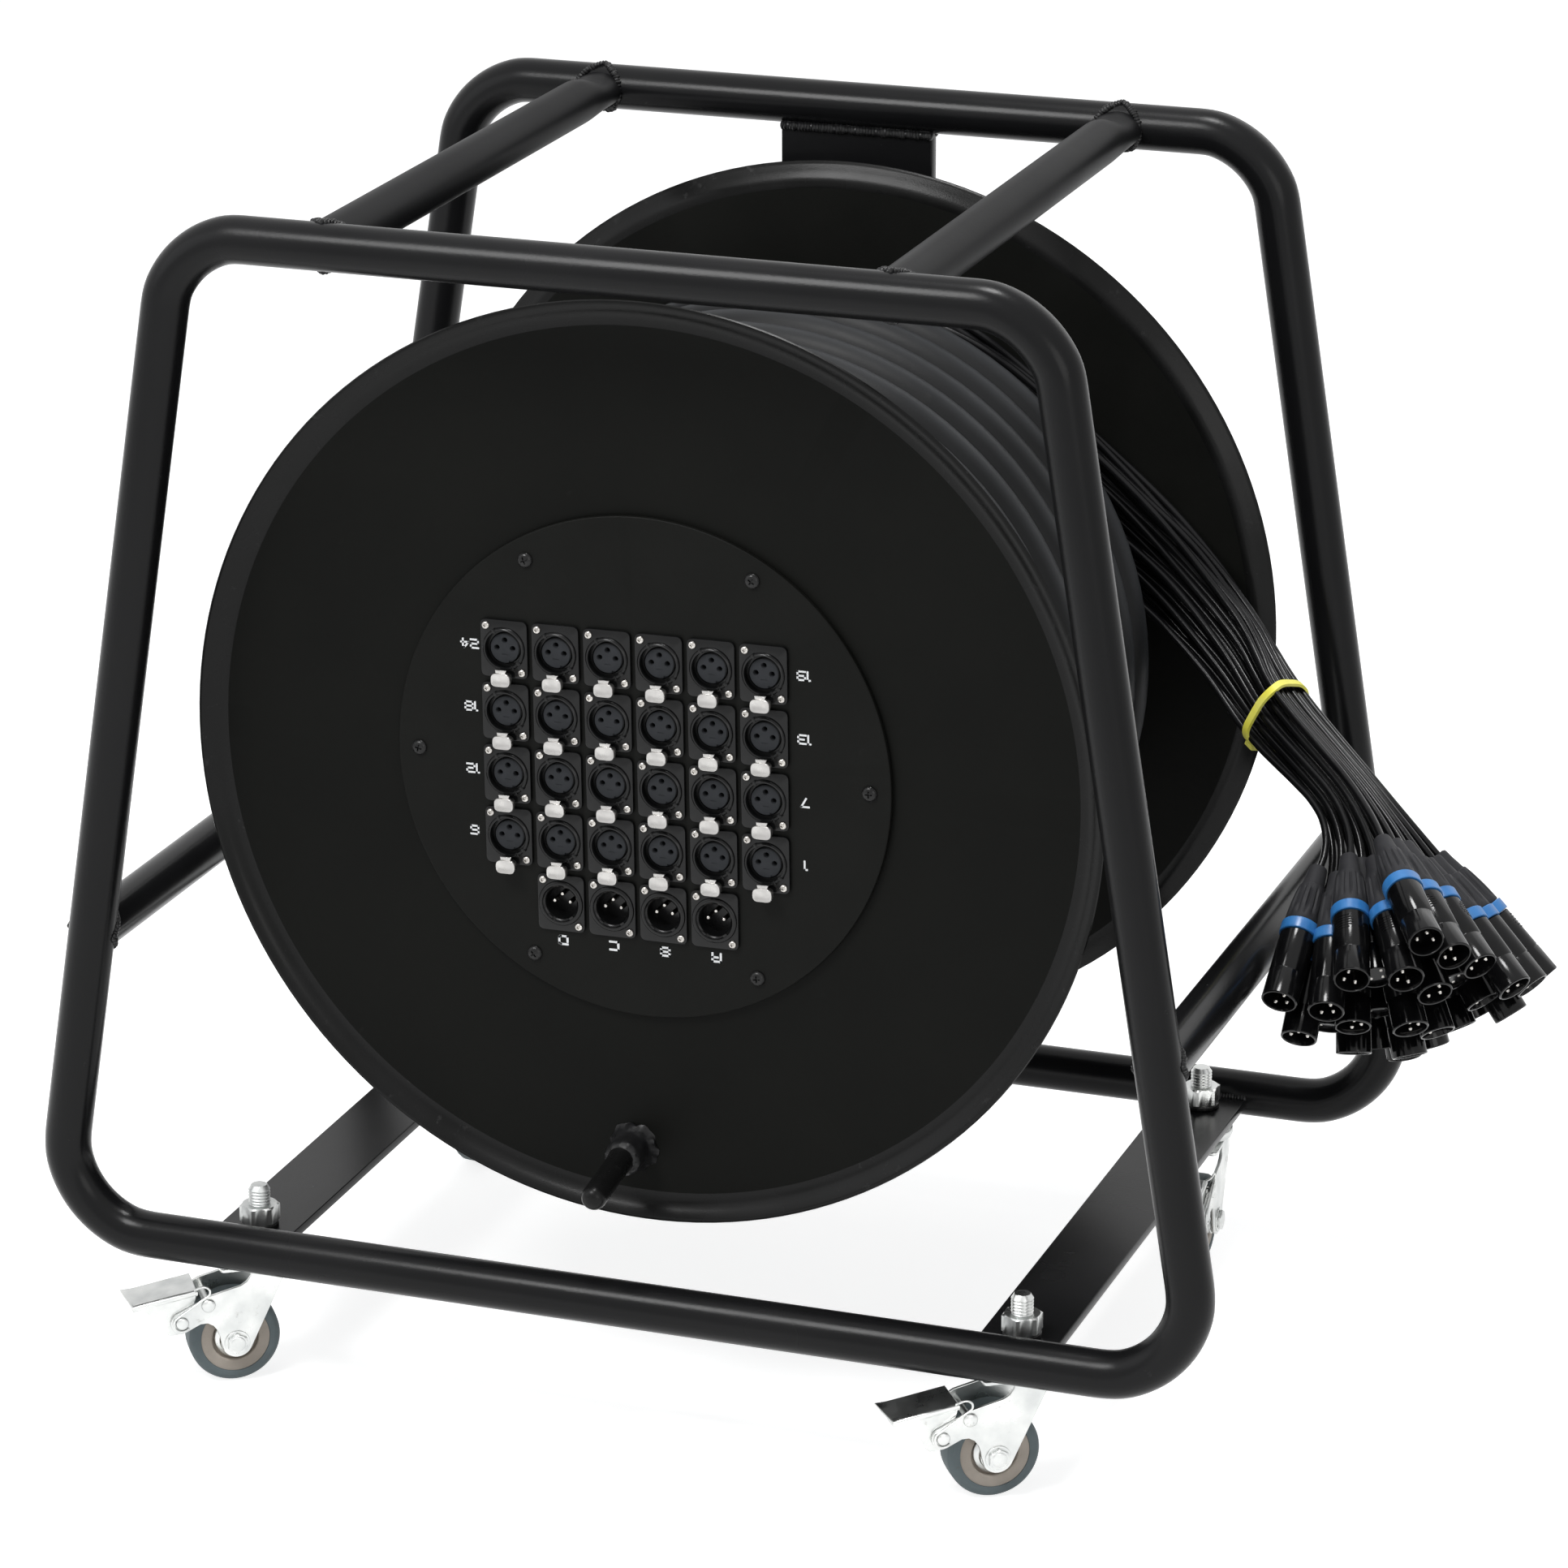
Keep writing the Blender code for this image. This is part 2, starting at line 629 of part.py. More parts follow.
def make_socket_row(name, columns, row, panel_front, gloss, spin, male=False):
    """A row of chassis sockets. Their bodies are joined by the earth strip behind them."""
    plate_back = panel_front - GAP
    plate_front = plate_back - SOCKET_PLATE
    ring_front = plate_front - SOCKET_RING_PROUD
    body_back = plate_back + SOCKET_BODY_DEPTH

    def strip(shape):
        z = socket_centre(0, row)[1]
        first = socket_centre(columns[0], row)[0]
        last = socket_centre(columns[-1], row)[0]
        outline = turn_loop(box_outline(last - first, EARTH_STRIP * 2, ((first + last) / 2, z)))
        add_prism(shape, outline, at_y(body_back - EARTH_STRIP / 2, UPRIGHT), EARTH_STRIP)

    def plate(centre):
        outline = turn_loop(box_outline(PLATE_W, PLATE_H, centre))
        return lambda shape: add_prism(shape, outline, at_y(plate_front, UPRIGHT), SOCKET_PLATE)

    def body(centre):
        x, z = panel_point(*centre)
        half_side = Matrix.Rotation(math.pi / SOCKET_SIDES, 4, "Z")
        place = Matrix.Translation((x, 0, z)) @ ALONG_Y @ half_side
        outer = [(0, ring_front), (SOCKET_R, ring_front), (SOCKET_R, body_back), (0, body_back)]
        return lambda shape: add_turned(shape, outer, SOCKET_SIDES, place)

    fillers = [strip]
    for column in columns:
        centre = socket_centre(column, row)
        fillers += [body(centre), plate(centre)]
    sockets = fused_object(name, fillers, gloss, spin)
    if male:
        add_cups(sockets, columns, row, ring_front, spin)


def add_cups(sockets, columns, row, ring_front, spin):
    """Open cups with three contact pins each, for the return sockets."""
    cup_bottom = ring_front + CUP_DEPTH
    cups = []
    pins = bmesh.new()
    for column in columns:
        x, z = panel_point(*socket_centre(column, row))
        place = Matrix.Translation((x, 0, z)) @ ALONG_Y
        cups.append(lambda shape, place=place: add_turned(shape, [
            (0, ring_front - MM), (CUP_R, ring_front - MM), (CUP_R, cup_bottom), (0, cup_bottom),
        ], 10, place))
        for angle in PIN_ANGLES:
            px, pz = circle(PIN_CIRCLE_R, 1, socket_centre(column, row), math.radians(angle))[0]
            px, pz = panel_point(px, pz)
            add_turned(pins, [
                (0, ring_front + 1.5 * MM), (PIN_R, ring_front + 1.5 * MM),
                (PIN_R, cup_bottom + MM), (0, cup_bottom + MM),
            ], 4, Matrix.Translation((px, 0, pz)) @ ALONG_Y)
    cut_with(sockets, f"{sockets.name}_cups", cups, spin)
    unite_with(sockets, f"{sockets.name}_pins", pins, spin)


def make_tab_row(row, panel_front, metal, slide):
    """The push tabs of a row, joined by a thin bar that runs in the space between two rows of sockets."""
    plate_front = panel_front - GAP - SOCKET_PLATE
    tab_front = plate_front - TAB_PROUD
    tab_back = plate_front - GAP - TAB_TRAVEL
    first, z = tab_centre(0, row)
    last = tab_centre(COLUMNS - 1, row)[0]
    bar_z = z - TAB_H / 2 + TAB_BAR / 2 + GAP
    bar_outline = turn_loop(box_outline(last - first + TAB_W / 2, TAB_BAR, ((first + last) / 2, bar_z)))
    depth = tab_back - tab_front
    place = at_y(tab_front, UPRIGHT)
    fillers = [lambda shape: add_prism(shape, bar_outline, at_y(tab_back - MM, UPRIGHT), TAB_BAR)]
    for column in range(COLUMNS):
        outline = turn_loop(box_outline(TAB_W, TAB_H, tab_centre(column, row)))
        fillers.append(lambda shape, outline=outline: add_prism(shape, outline, place, depth))
    fused_object(f"push_tabs_row_{row + 1}", fillers, metal, slide)


def make_handle(paint, spin):
    x = HANDLE_CIRCLE_R * math.cos(HANDLE_ANGLE)
    z = HANDLE_CIRCLE_R * math.sin(HANDLE_ANGLE)
    boss_back = FRONT_FACE_Y - GAP
    boss_front = boss_back - BOSS_LENGTH
    place = Matrix.Translation((x, 0, z)) @ ALONG_Y
    turned_object("handle_boss", [
        (0, boss_front), (BOSS_R - 2 * MM, boss_front), (BOSS_R, boss_front + 2 * MM),
        (BOSS_R, boss_back - 3 * MM), (BOSS_R + 3 * MM, boss_back), (0, boss_back),
    ], 16, paint, spin, place)
    lean = Matrix.Rotation(HANDLE_LEAN, 4, "X") @ Matrix.Rotation(HANDLE_LEAN / 2, 4, "Z")
    start = (HANDLE_R + MM) * math.tan(HANDLE_LEAN) + GAP
    length = HANDLE_REACH - BOSS_LENGTH
    rod = Matrix.Translation((x, boss_front, z)) @ lean @ ALONG_Y
    turned_object("turning_handle", [
        (0, -length), (HANDLE_R * 0.55, -length + 0.6 * MM), (HANDLE_R * 0.9, -length + 2.6 * MM),
        (HANDLE_R, -length + 5 * MM), (HANDLE_R, -start), (0, -start),
    ], 14, paint, spin, rod)


def winding_point(turn_angle):
    """Centre of the wound cable after it has turned by an angle, from the front flange backwards."""
    total = 2 * math.pi * TURNS
    angle = WINDING_END_TURN + total - turn_angle
    start_y = FRONT_INNER_Y + CABLE_R + 2 * GAP
    y = start_y + TURN_PITCH * turn_angle / (2 * math.pi)
    return Vector((WINDING_R * math.cos(angle), y, WINDING_R * math.sin(angle)))


def winding_path():
    total = 2 * math.pi * TURNS
    count = round(TURNS * LOOP_POINTS)
    points = [winding_point(total * i / count) for i in range(count + 1)]
    run_in = (points[0] - points[1]).normalized() * 2 * CABLE_R
    run_out = (points[-1] - points[-2]).normalized() * 2 * CABLE_R
    return [points[0] + run_in] + points + [points[-1] + run_out]


def least_gap_to_itself(points, radius, skip):
    """Smallest space between stretches of a tube that aren't next to each other."""
    least = math.inf
    for i, point in enumerate(points):
        for j in range(i + skip, len(points) - 1):
            start = points[j]
            along = points[j + 1] - start
            share = max(0.0, min(1.0, (point - start).dot(along) / along.length_squared))
            least = min(least, (point - start - along * share).length)
    return least - 2 * radius


def make_winding(rubber, spin):
    path = winding_path()
    gap = least_gap_to_itself(path, CABLE_R, LOOP_POINTS // 2)
    print(f"cable_winding: least gap to itself {gap / MM:.2f} mm")
    tube_object("cable_winding", path, CABLE_R, rubber, spin, sides=6)
    last_y = winding_point(2 * math.pi * TURNS).y
    core_r = WINDING_R * math.cos(math.pi / LOOP_POINTS) - CABLE_R - GAP
    bore = BARREL_R + GAP
    front = FRONT_INNER_Y + 4 * MM
    turned_object("cable_core_layers", [
        (bore, front), (core_r, front), (core_r, last_y + CABLE_R), (bore, last_y + CABLE_R),
    ], BARREL_STEPS, rubber, spin, ALONG_Y)


def drum_point(angle, radius, y):
    return Vector((radius * math.cos(angle), y, AXIS_Z + radius * math.sin(angle)))


def ease(share):
    share = max(0.0, min(1.0, share))
    return share * share * (3 - 2 * share)


def make_cable_end(rubber, sleeve_rubber, root):
    """The multicore leaves its last turn, moves beside the rear flange and enters the sleeve."""
    last_y = winding_point(2 * math.pi * TURNS).y
    stub = []
    steps = 12
    for i in range(steps + 1):
        share = i / steps
        angle = STUB_START + (SLEEVE_START - STUB_START) * share
        radius = WINDING_R + (STUB_R - WINDING_R) * ease(share)
        y = last_y + (GAP_Y - last_y) * ease(share * 1.5)
        stub.append(drum_point(angle, radius, y))
    joint = drum_point(SLEEVE_START, STUB_R, GAP_Y)
    along = Vector((math.sin(SLEEVE_START), 0, -math.cos(SLEEVE_START)))
    stub[-1:] = [joint - along * 3 * MM, joint - along * GAP]
    obj = tube_object("multicore_end", stub, CABLE_R - 0.2 * MM, rubber, root, 12)
    trim_stub(obj, last_y + CABLE_R + GAP, rubber, root)
    sleeve = [joint, joint + along * 3 * MM]
    steps = 6
    for i in range(1, steps + 1):
        angle = SLEEVE_START + (SLEEVE_END - SLEEVE_START) * i / steps
        sleeve.append(drum_point(angle, STUB_R, GAP_Y))
    tube_object("breakout_sleeve", sleeve, SLEEVE_R, sleeve_rubber, root, 12)


def trim_stub(curve_object, limit_y, rubber, root):
    """Cuts the stub off where it would run inside the last turn, so that it seems to grow out of it."""
    graph = bpy.context.evaluated_depsgraph_get()
    mesh = bpy.data.meshes.new_from_object(curve_object.evaluated_get(graph))
    name = curve_object.name
    curve = curve_object.data
    bpy.data.objects.remove(curve_object, do_unlink=True)
    bpy.data.curves.remove(curve)
    mesh.materials.clear()
    obj = add_object(name, mesh, rubber, root)
    shape = bmesh.new()
    reach = 400 * MM
    add_box(shape, (-reach, limit_y - reach, 0), (reach, limit_y, 2 * reach))
    cutter = add_object("stub_trim", mesh_from("stub_trim", shape), rubber, root)
    cutter.hide_render = True
    cutter.display_type = "WIRE"
    cut = obj.modifiers.new("stub_trim", "BOOLEAN")
    cut.operation = "DIFFERENCE"
    cut.solver = "EXACT"
    cut.object = cutter


def tail_slots():
    """Place of each tail across the bundle, in steps: along the row, and from row to row."""
    return [
        (first + i, row - HALF_STACK)
        for row, (first, count) in enumerate(TAIL_ROWS)
        for i in range(count)
    ]


def station(centre, forward, row_hint, across, stack):
    """A place along the bundle: centre, row direction, stacking direction, and the two steps."""
    row_way = (row_hint - forward * row_hint.dot(forward)).normalized()
    return centre, row_way, forward.cross(row_way), across, stack


def bundle_stations():
    """Places from the sleeve, past the tie, to the waist where the tails spread."""
    back = Vector((0, 1, 0))
    stations = []
    for degrees, beyond, across, stack in ROUND_DRUM:
        angle = math.radians(degrees)
        along = Vector((math.sin(angle), 0, -math.cos(angle)))
        centre = drum_point(angle, TAIL_CIRCLE_R + beyond * MM, GAP_Y)
        stations.append(station(centre, along, back, across * MM, stack * MM))
    leave = drum_point(TAIL_LEAVE, TAIL_CIRCLE_R, GAP_Y)
    along = Vector((math.sin(TAIL_LEAVE), 0, -math.cos(TAIL_LEAVE)))
    stations.append(station(leave, along, back, TAIL_STEP, 14 * MM))
    for share, forwards, stack in ((0.35, 0.5, 12), (0.58, 3.5, 10.5), (0.8, 20, 9)):
        centre = leave.lerp(TIE_POINT, share)
        centre.y = GAP_Y - forwards * MM
        stations.append(station(centre, along, back, TAIL_STEP, stack * MM))
    onward = (WAIST_POINT - TIE_POINT).normalized()
    stations.append(station(TIE_POINT, onward, back, TAIL_STEP, 7.4 * MM))
    turned = (onward + FAN_WAY).normalized()
    row_hint = stations[-1][1] + FAN_ROW_WAY
    stations.append(station(WAIST_POINT, turned, row_hint, TAIL_STEP, TAIL_STEP))
    return stations


def ring_station():
    """The place, beyond the waist, where the plugs' coloured rings are."""
    centre = WAIST_POINT + FAN_WAY * RING_REACH
    return station(centre, FAN_WAY, FAN_ROW_WAY, RING_PITCH, RING_PITCH * math.sqrt(0.75))


def slot_point(place, slot):
    centre, row_way, stack_way, across, stack = place
    return centre + row_way * (slot[0] * across) + stack_way * (slot[1] * stack)


def plug_start(number):
    """Distance from the waist to a plug's boot. The plugs are staggered a little."""
    return RING_REACH - BOOT_LENGTH - RING_LENGTH / 2 + PLUG_STAGGER * (number * 3 % 4 - 1.5)


def squared(share):
    """Takes a circle's coordinate to that of a rounded square."""
    return math.copysign(math.sqrt(abs(share)), share)


def bundle_ring(place, count, grow=0.0):
    """Points round the whole bundle at a place along it."""
    centre, row_way, stack_way, across, stack = place
    a = HALF_ROW * across + TAIL_R + grow
    b = HALF_STACK * stack + TAIL_R + grow
    return [
        centre + row_way * (a * squared(x)) + stack_way * (b * squared(y))
        for x, y in circle(1, count)
    ]


def make_tail_loom(rubber, root):
    """The tails as one bundle up to the waist, then each one on to its plug."""
    slots = tail_slots()
    stations = bundle_stations()
    rings_place = ring_station()

    def bundle(shape):
        add_loft(shape, [bundle_ring(place, 12, 0.4 * MM) for place in stations])

    def tail(number):
        slot = slots[number]
        start = plug_start(number)
        boot_end = start + BOOT_LENGTH
        ring_end = boot_end + RING_LENGTH
        end = start + PLUG_LENGTH - (12 * MM if number in RETURN_TAILS else 0)
        reaches = [
            (-8 * MM, TAIL_R), (start, TAIL_R), (boot_end, PLUG_RING_R),
            (ring_end, PLUG_RING_R), (end, PLUG_R),
        ]
        near = slot_point(stations[-1], slot)
        ray = (slot_point(rings_place, slot) - near).normalized()
        side = ray.orthogonal().normalized()
        other = ray.cross(side)

        def fill(shape):
            rings = []
            for reach, radius in reaches:
                rings.append([near + ray * reach + side * x + other * y for x, y in circle(radius, 6)])
            add_loft(shape, rings)
        return fill

    fused_object("tail_loom", [bundle] + [tail(i) for i in range(len(slots))], rubber, root)


def make_tie(tie_plastic, root):
    """A band round the tails where they are gathered."""
    place = bundle_stations()[-2]
    half = (WAIST_POINT - TIE_POINT).normalized() * (TIE_WIDTH / 2)
    inner = bundle_ring(place, 16, 1.8 * MM)
    outer = bundle_ring(place, 16, 1.8 * MM + TIE_THICK)
    shape = bmesh.new()
    add_loft(shape, [
        [near - half, far - half, far + half, near + half] for near, far in zip(inner, outer)
    ], closed=True)
    add_object("tail_tie", mesh_from("tail_tie", shape), tie_plastic, root)


def fork_outline():
    """Side of the fork, from the axle: (towards the swivel side, up), in metres."""
    top = CROWN_Z - WHEEL_R + 2 * MM
    points = [(30 * MM, top)]
    points += [
        (8.5 * MM * math.cos(math.radians(a)), 8.5 * MM * math.sin(math.radians(a)))
        for a in (-28, -90, -150)
    ]
    points += [
        (-9.5 * MM, 5 * MM), (-15.5 * MM, 12.5 * MM), (-28 * MM, 9 * MM),
        (-34 * MM, 11 * MM), (-34 * MM, 18 * MM), (-15 * MM, 28.5 * MM), (3.3 * MM, 33 * MM), (9 * MM, top),
    ]
    return [(u - TRAIL, z) for u, z in points]


def make_caster(word, side, end, degrees, materials, root):
    zinc, tyre_rubber, core_plastic = materials
    x = side * BAR_X
    y = end * STUD_Y
    stud_empty = make_empty(f"stud_place_{word}", (x, y, 0), 0, root)
    make_stud(f"caster_stud_{word}", zinc, stud_empty)
    swivel = make_empty(f"swivel_{word}", (x, y, 0), math.radians(degrees), root)
    make_fork(f"caster_fork_{word}", zinc, swivel)
    wheel = make_empty(f"wheel_{word}", (-TRAIL, 0, WHEEL_R), 0, swivel)
    make_wheel(word, tyre_rubber, core_plastic, wheel)
    pivot = make_empty(f"pedal_pivot_{word}", (PIVOT_U - TRAIL, 0, WHEEL_R + PIVOT_Z), 0, swivel)
    make_pedal(f"brake_pedal_{word}", zinc, pivot)


def make_stud(name, zinc, place):
    """Fixed half of the swivel with its stud, spring washer and nut above the bar."""
    bar_low = BAR_TOP_Z - BAR_THICK
    washer_top = BAR_TOP_Z + GAP + SPRING_WASHER_THICK
    nut_top = washer_top + NUT_HIGH
    nut_r = NUT_FLATS / math.sqrt(3)
    fused_object(name, [
        lambda shape: add_turned(shape, [
            (0, SWIVEL_Z + GAP), (RACE_R, SWIVEL_Z + GAP), (RACE_R, bar_low - GAP), (STUD_R, bar_low - GAP),
            (STUD_R, BAR_TOP_Z + GAP), (SPRING_WASHER_R, BAR_TOP_Z + GAP), (SPRING_WASHER_R, washer_top),
            (STUD_R, washer_top), (STUD_R, nut_top + THREAD_ABOVE), (0, nut_top + THREAD_ABOVE),
        ], 8),
        lambda shape: add_turned(shape, [
            (0, washer_top - GAP), (nut_r, washer_top - GAP), (nut_r, nut_top), (0, nut_top),
        ], 6),
    ], zinc, place)


def make_fork(name, zinc, swivel):
    outline = fork_outline()
    pivot_hole = circle(PIVOT_R + 3 * GAP, 6, (PIVOT_U - TRAIL, PIVOT_Z))
    crown_low = -25 * MM
    crown_high = 13 * MM
    half = FORK_IN + FORK_SHEET

    def cheek(y):
        place = Matrix.Translation((0, y, WHEEL_R)) @ UPRIGHT
        return lambda shape: add_prism(shape, outline, place, FORK_SHEET)

    body = fused_object(name, [
        lambda shape: add_box(shape, (crown_low, -half, CROWN_Z), (crown_high, half, CROWN_Z + FORK_SHEET)),
        lambda shape: add_turned(shape, [
            (0, CROWN_Z + MM), (RACE_R - 4 * MM, CROWN_Z + MM), (RACE_R, CROWN_Z + 4 * MM),
            (RACE_R, SWIVEL_Z), (0, SWIVEL_Z),
        ], 10),
        cheek(FORK_IN),
        cheek(-half),
        lambda shape: add_turned(shape, [
            (0, -half - 3.5 * MM), (5.5 * MM, -half - 3.5 * MM), (5.5 * MM, -half + GAP),
            (BOLT_R, -half + GAP), (BOLT_R, half - GAP),
            (5.5 * MM, half - GAP), (5.5 * MM, half + 3.5 * MM), (0, half + 3.5 * MM),
        ], 6, Matrix.Translation((-TRAIL, 0, WHEEL_R)) @ ALONG_Y),
    ], zinc, swivel)
    across = Matrix.Translation((0, -half - MM, WHEEL_R)) @ UPRIGHT
    cut_with(body, f"{name}_pivot_hole", [
        lambda shape: add_prism(shape, pivot_hole, across, 2 * half + 2 * MM),
    ], swivel)


def make_wheel(word, tyre_rubber, core_plastic, wheel):
    shoulder = 4 * MM
    bed = CORE_R + 2 * GAP
    turned_object(f"caster_tyre_{word}", [
        (bed, -TYRE_HALF), (WHEEL_R - shoulder, -TYRE_HALF), (WHEEL_R, -TYRE_HALF + shoulder),
        (WHEEL_R, TYRE_HALF - shoulder), (WHEEL_R - shoulder, TYRE_HALF), (bed, TYRE_HALF),
    ], 16, tyre_rubber, wheel, ALONG_Y)
    bore = BOLT_R + 2 * GAP
    dish = TYRE_HALF - 0.8 * MM
    turned_object(f"caster_core_{word}", [
        (bore, -HUB_HALF), (HUB_BOSS_R, -HUB_HALF), (HUB_BOSS_R, -dish), (CORE_R, -dish),
        (CORE_R, dish), (HUB_BOSS_R, dish), (HUB_BOSS_R, HUB_HALF), (bore, HUB_HALF),
    ], 12, core_plastic, wheel, ALONG_Y)


def make_pedal(name, zinc, pivot):
    """Brake pedal about its pivot: two cheeks inside the fork, a tread plate and the pivot pin."""
    outer = FORK_IN - GAP
    inner = outer - PEDAL_SHEET
    pin = FORK_IN + FORK_SHEET + PIN_PROUD

    def from_pivot(points):
        return [((u * MM - PIVOT_U), (z * MM - PIVOT_Z)) for u, z in points]

    cheek = from_pivot([(-52, 25), (-36.3, 6.4), (-27.7, 7.4), (-25.5, 10), (-22, 22), (-21, 30.6)])
    tread = from_pivot([(-55.5, 24.4), (-20.5, 30.2), (-20.5, 31.8), (-55.5, 26)])

    def slab(outline, low, high):
        return lambda shape: add_prism(shape, outline, at_y(low, UPRIGHT), high - low)

    fused_object(name, [
        slab(tread, -outer, outer),
        slab(cheek, inner, outer),
        slab(cheek, -outer, -inner),
        lambda shape: add_turned(shape, [(0, -pin), (PIVOT_R, -pin), (PIVOT_R, pin), (0, pin)], 6, ALONG_Y),
    ], zinc, pivot)


def build():
    clear_scene()
    frame_paint = make_material("black_powder_coat", (0.018, 0.018, 0.02), 0.42)
    drum_paint = make_material("black_drum_paint", (0.012, 0.012, 0.011), 0.5)
    gloss = make_material("black_socket", (0.008, 0.008, 0.009), 0.25)
    silver = make_material("silver_tab", (0.78, 0.77, 0.74), 0.3, 1.0)
    screw_black = make_material("black_screw", (0.015, 0.015, 0.015), 0.35, 0.8)
    cable_rubber = make_material("cable_rubber", (0.035, 0.037, 0.04), 0.55)
    sleeve_rubber = make_material("sleeve_rubber", (0.015, 0.015, 0.015), 0.6)
    loom_rubber = make_material("tail_rubber", (0.012, 0.012, 0.014), 0.45)
    tie_plastic = make_material("yellow_tie", (0.75, 0.68, 0.05), 0.5)
    zinc = make_material("zinc_plate", (0.72, 0.73, 0.72), 0.35, 1.0)
    tyre_rubber = make_material("grey_tyre", (0.12, 0.15, 0.17), 0.6)
    core_plastic = make_material("taupe_core", (0.36, 0.31, 0.28), 0.6)
    steel = make_material("axle_steel", (0.45, 0.45, 0.46), 0.35, 1.0)

    root = make_empty("frame_root")
    make_frame(frame_paint, root)
    make_axle(steel, root)

    spin = make_empty("drum_spin", (0, 0, AXIS_Z), 0, root)
    make_drum(drum_paint, steel, sleeve_rubber, spin)
    panel_front = make_panel(drum_paint, screw_black, spin)
    cut_flange_holes(spin)
    for row in range(FEMALE_ROWS):
        make_socket_row(f"line_sockets_row_{row + 1}", tuple(range(COLUMNS)), row, panel_front, gloss, spin)
        slide = make_empty(f"tab_slide_{row + 1}", (0, 0, 0), 0, spin)
        make_tab_row(row, panel_front, silver, slide)
    make_socket_row("return_sockets_row", MALE_COLUMNS, FEMALE_ROWS, panel_front, gloss, spin, male=True)
    make_handle(drum_paint, spin)
    make_winding(cable_rubber, spin)

    make_cable_end(cable_rubber, sleeve_rubber, root)
    make_tail_loom(loom_rubber, root)
    make_tie(tie_plastic, root)

    for word, (side, end, degrees) in CASTERS.items():
        make_caster(word, side, end, degrees, (zinc, tyre_rubber, core_plastic), root)


build()
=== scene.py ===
"""Looks of a wheeled multicore cable drum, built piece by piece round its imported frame."""

import math

import bmesh
import bpy
from mathutils import Matrix, Vector


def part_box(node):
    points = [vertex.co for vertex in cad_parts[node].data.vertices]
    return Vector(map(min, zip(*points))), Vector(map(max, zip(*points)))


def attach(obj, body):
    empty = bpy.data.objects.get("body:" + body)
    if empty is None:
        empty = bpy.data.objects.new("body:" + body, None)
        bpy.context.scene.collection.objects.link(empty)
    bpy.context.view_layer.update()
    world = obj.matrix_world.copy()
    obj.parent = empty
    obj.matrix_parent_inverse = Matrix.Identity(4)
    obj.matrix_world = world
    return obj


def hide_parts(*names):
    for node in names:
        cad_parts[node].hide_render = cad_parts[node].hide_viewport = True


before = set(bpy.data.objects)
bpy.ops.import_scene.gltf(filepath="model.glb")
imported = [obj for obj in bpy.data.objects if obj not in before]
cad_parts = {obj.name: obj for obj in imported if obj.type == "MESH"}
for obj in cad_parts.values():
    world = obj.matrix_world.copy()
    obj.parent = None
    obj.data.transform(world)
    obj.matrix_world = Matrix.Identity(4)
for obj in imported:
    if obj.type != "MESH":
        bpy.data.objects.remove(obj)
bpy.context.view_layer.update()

MM = 0.001
SIDES = (("left", -1), ("right", 1))

# Frame tubes, base bars and axle plate.
TUBE_R = 12.5 * MM
FRAME_HALF_DEPTH = 197 * MM
BOTTOM_RAIL_Z = 84.5 * MM
TOP_RAIL_Z = 639.5 * MM
TOP_HALF_WIDTH = 233 * MM
BOTTOM_HALF_WIDTH = 321 * MM
BEND_R = 50 * MM
CROSSBAR_X = 151 * MM
SIDE_TUBE_Z = 254.5 * MM
BAR_X = 215 * MM
BAR_WIDTH = 43 * MM
BAR_THICK = 5 * MM
BAR_TOP_Z = 85.5 * MM
STUD_Y = 167 * MM
PLATE_WIDTH = 88 * MM
PLATE_THICK = 8 * MM
PLATE_FRONT_Y = 190 * MM

# Drum, panel and sockets.
AXIS_Z = 362.6 * MM
FRONT_FACE_Y = -144 * MM
FRONT_INNER_Y = -142 * MM
REAR_INNER_Y = 168 * MM
PANEL_R = 136 * MM
PANEL_FRONT_Y = -147.5 * MM
PANEL_TURN = math.radians(0.64)
COLUMN_PITCH = 28.5 * MM
ROW_PITCH = 34.1 * MM
GRID_X = -3.1 * MM
GRID_Z = 7.9 * MM
SOCKET_FRONT_Y = PANEL_FRONT_Y - 2.1 * MM
SOCKET_PROUD = 2 * MM
SOCKET_SCREW = (9.8, 12.2)
PIN_CIRCLE_R = 4.4 * MM
PANEL_SCREW_R = 124.3 * MM
HANDLE_CIRCLE_R = 212 * MM
TAB_DROP = 15.3 * MM

# Cable, its end, tails and plugs.
CABLE_R = 13 * MM
SLEEVE_R = 16.5 * MM
WINDING_R = 184 * MM
TURN_PITCH = 26.5 * MM
TURNS = 9.25
WINDING_END_TURN = math.radians(215)
GAP_Y = 148.5 * MM
STUB_R = 158 * MM
TAIL_R = 2 * MM
TAIL_STEP = 4.3 * MM
TAIL_CIRCLE_R = 154 * MM
TAIL_LEAVE = math.radians(50.1)
TAIL_ROWS = ((-2.5, 6), (-2, 5), (-2.5, 6), (-2, 5), (-2.5, 6))
RETURN_TAILS = (2, 8, 12, 19)
# Along the drum: degrees, space beyond the tails' circle, step across and step in the stack.
ROUND_DRUM = (
    (123, 4, 3.6, 3.6), (116, 3, 3.9, 4.1), (104, 2.5, 4.1, 6), (88, 1.5, 4.3, 11), (69, 0, 4.3, 14),
)
TIE_POINT = Vector((0.2706, 0.100, 0.346))
WAIST_POINT = Vector((0.330, 0.0553, 0.3184))
FAN_WAY = Vector((0.417, -0.530, -0.739)).normalized()
FAN_ROW_WAY = Vector((0.307, 0.847, -0.434))
RING_REACH = 86 * MM
RING_PITCH = 21.2 * MM
BOOT_LENGTH = 38 * MM
RING_LENGTH = 6 * MM
PLUG_LENGTH = 86 * MM

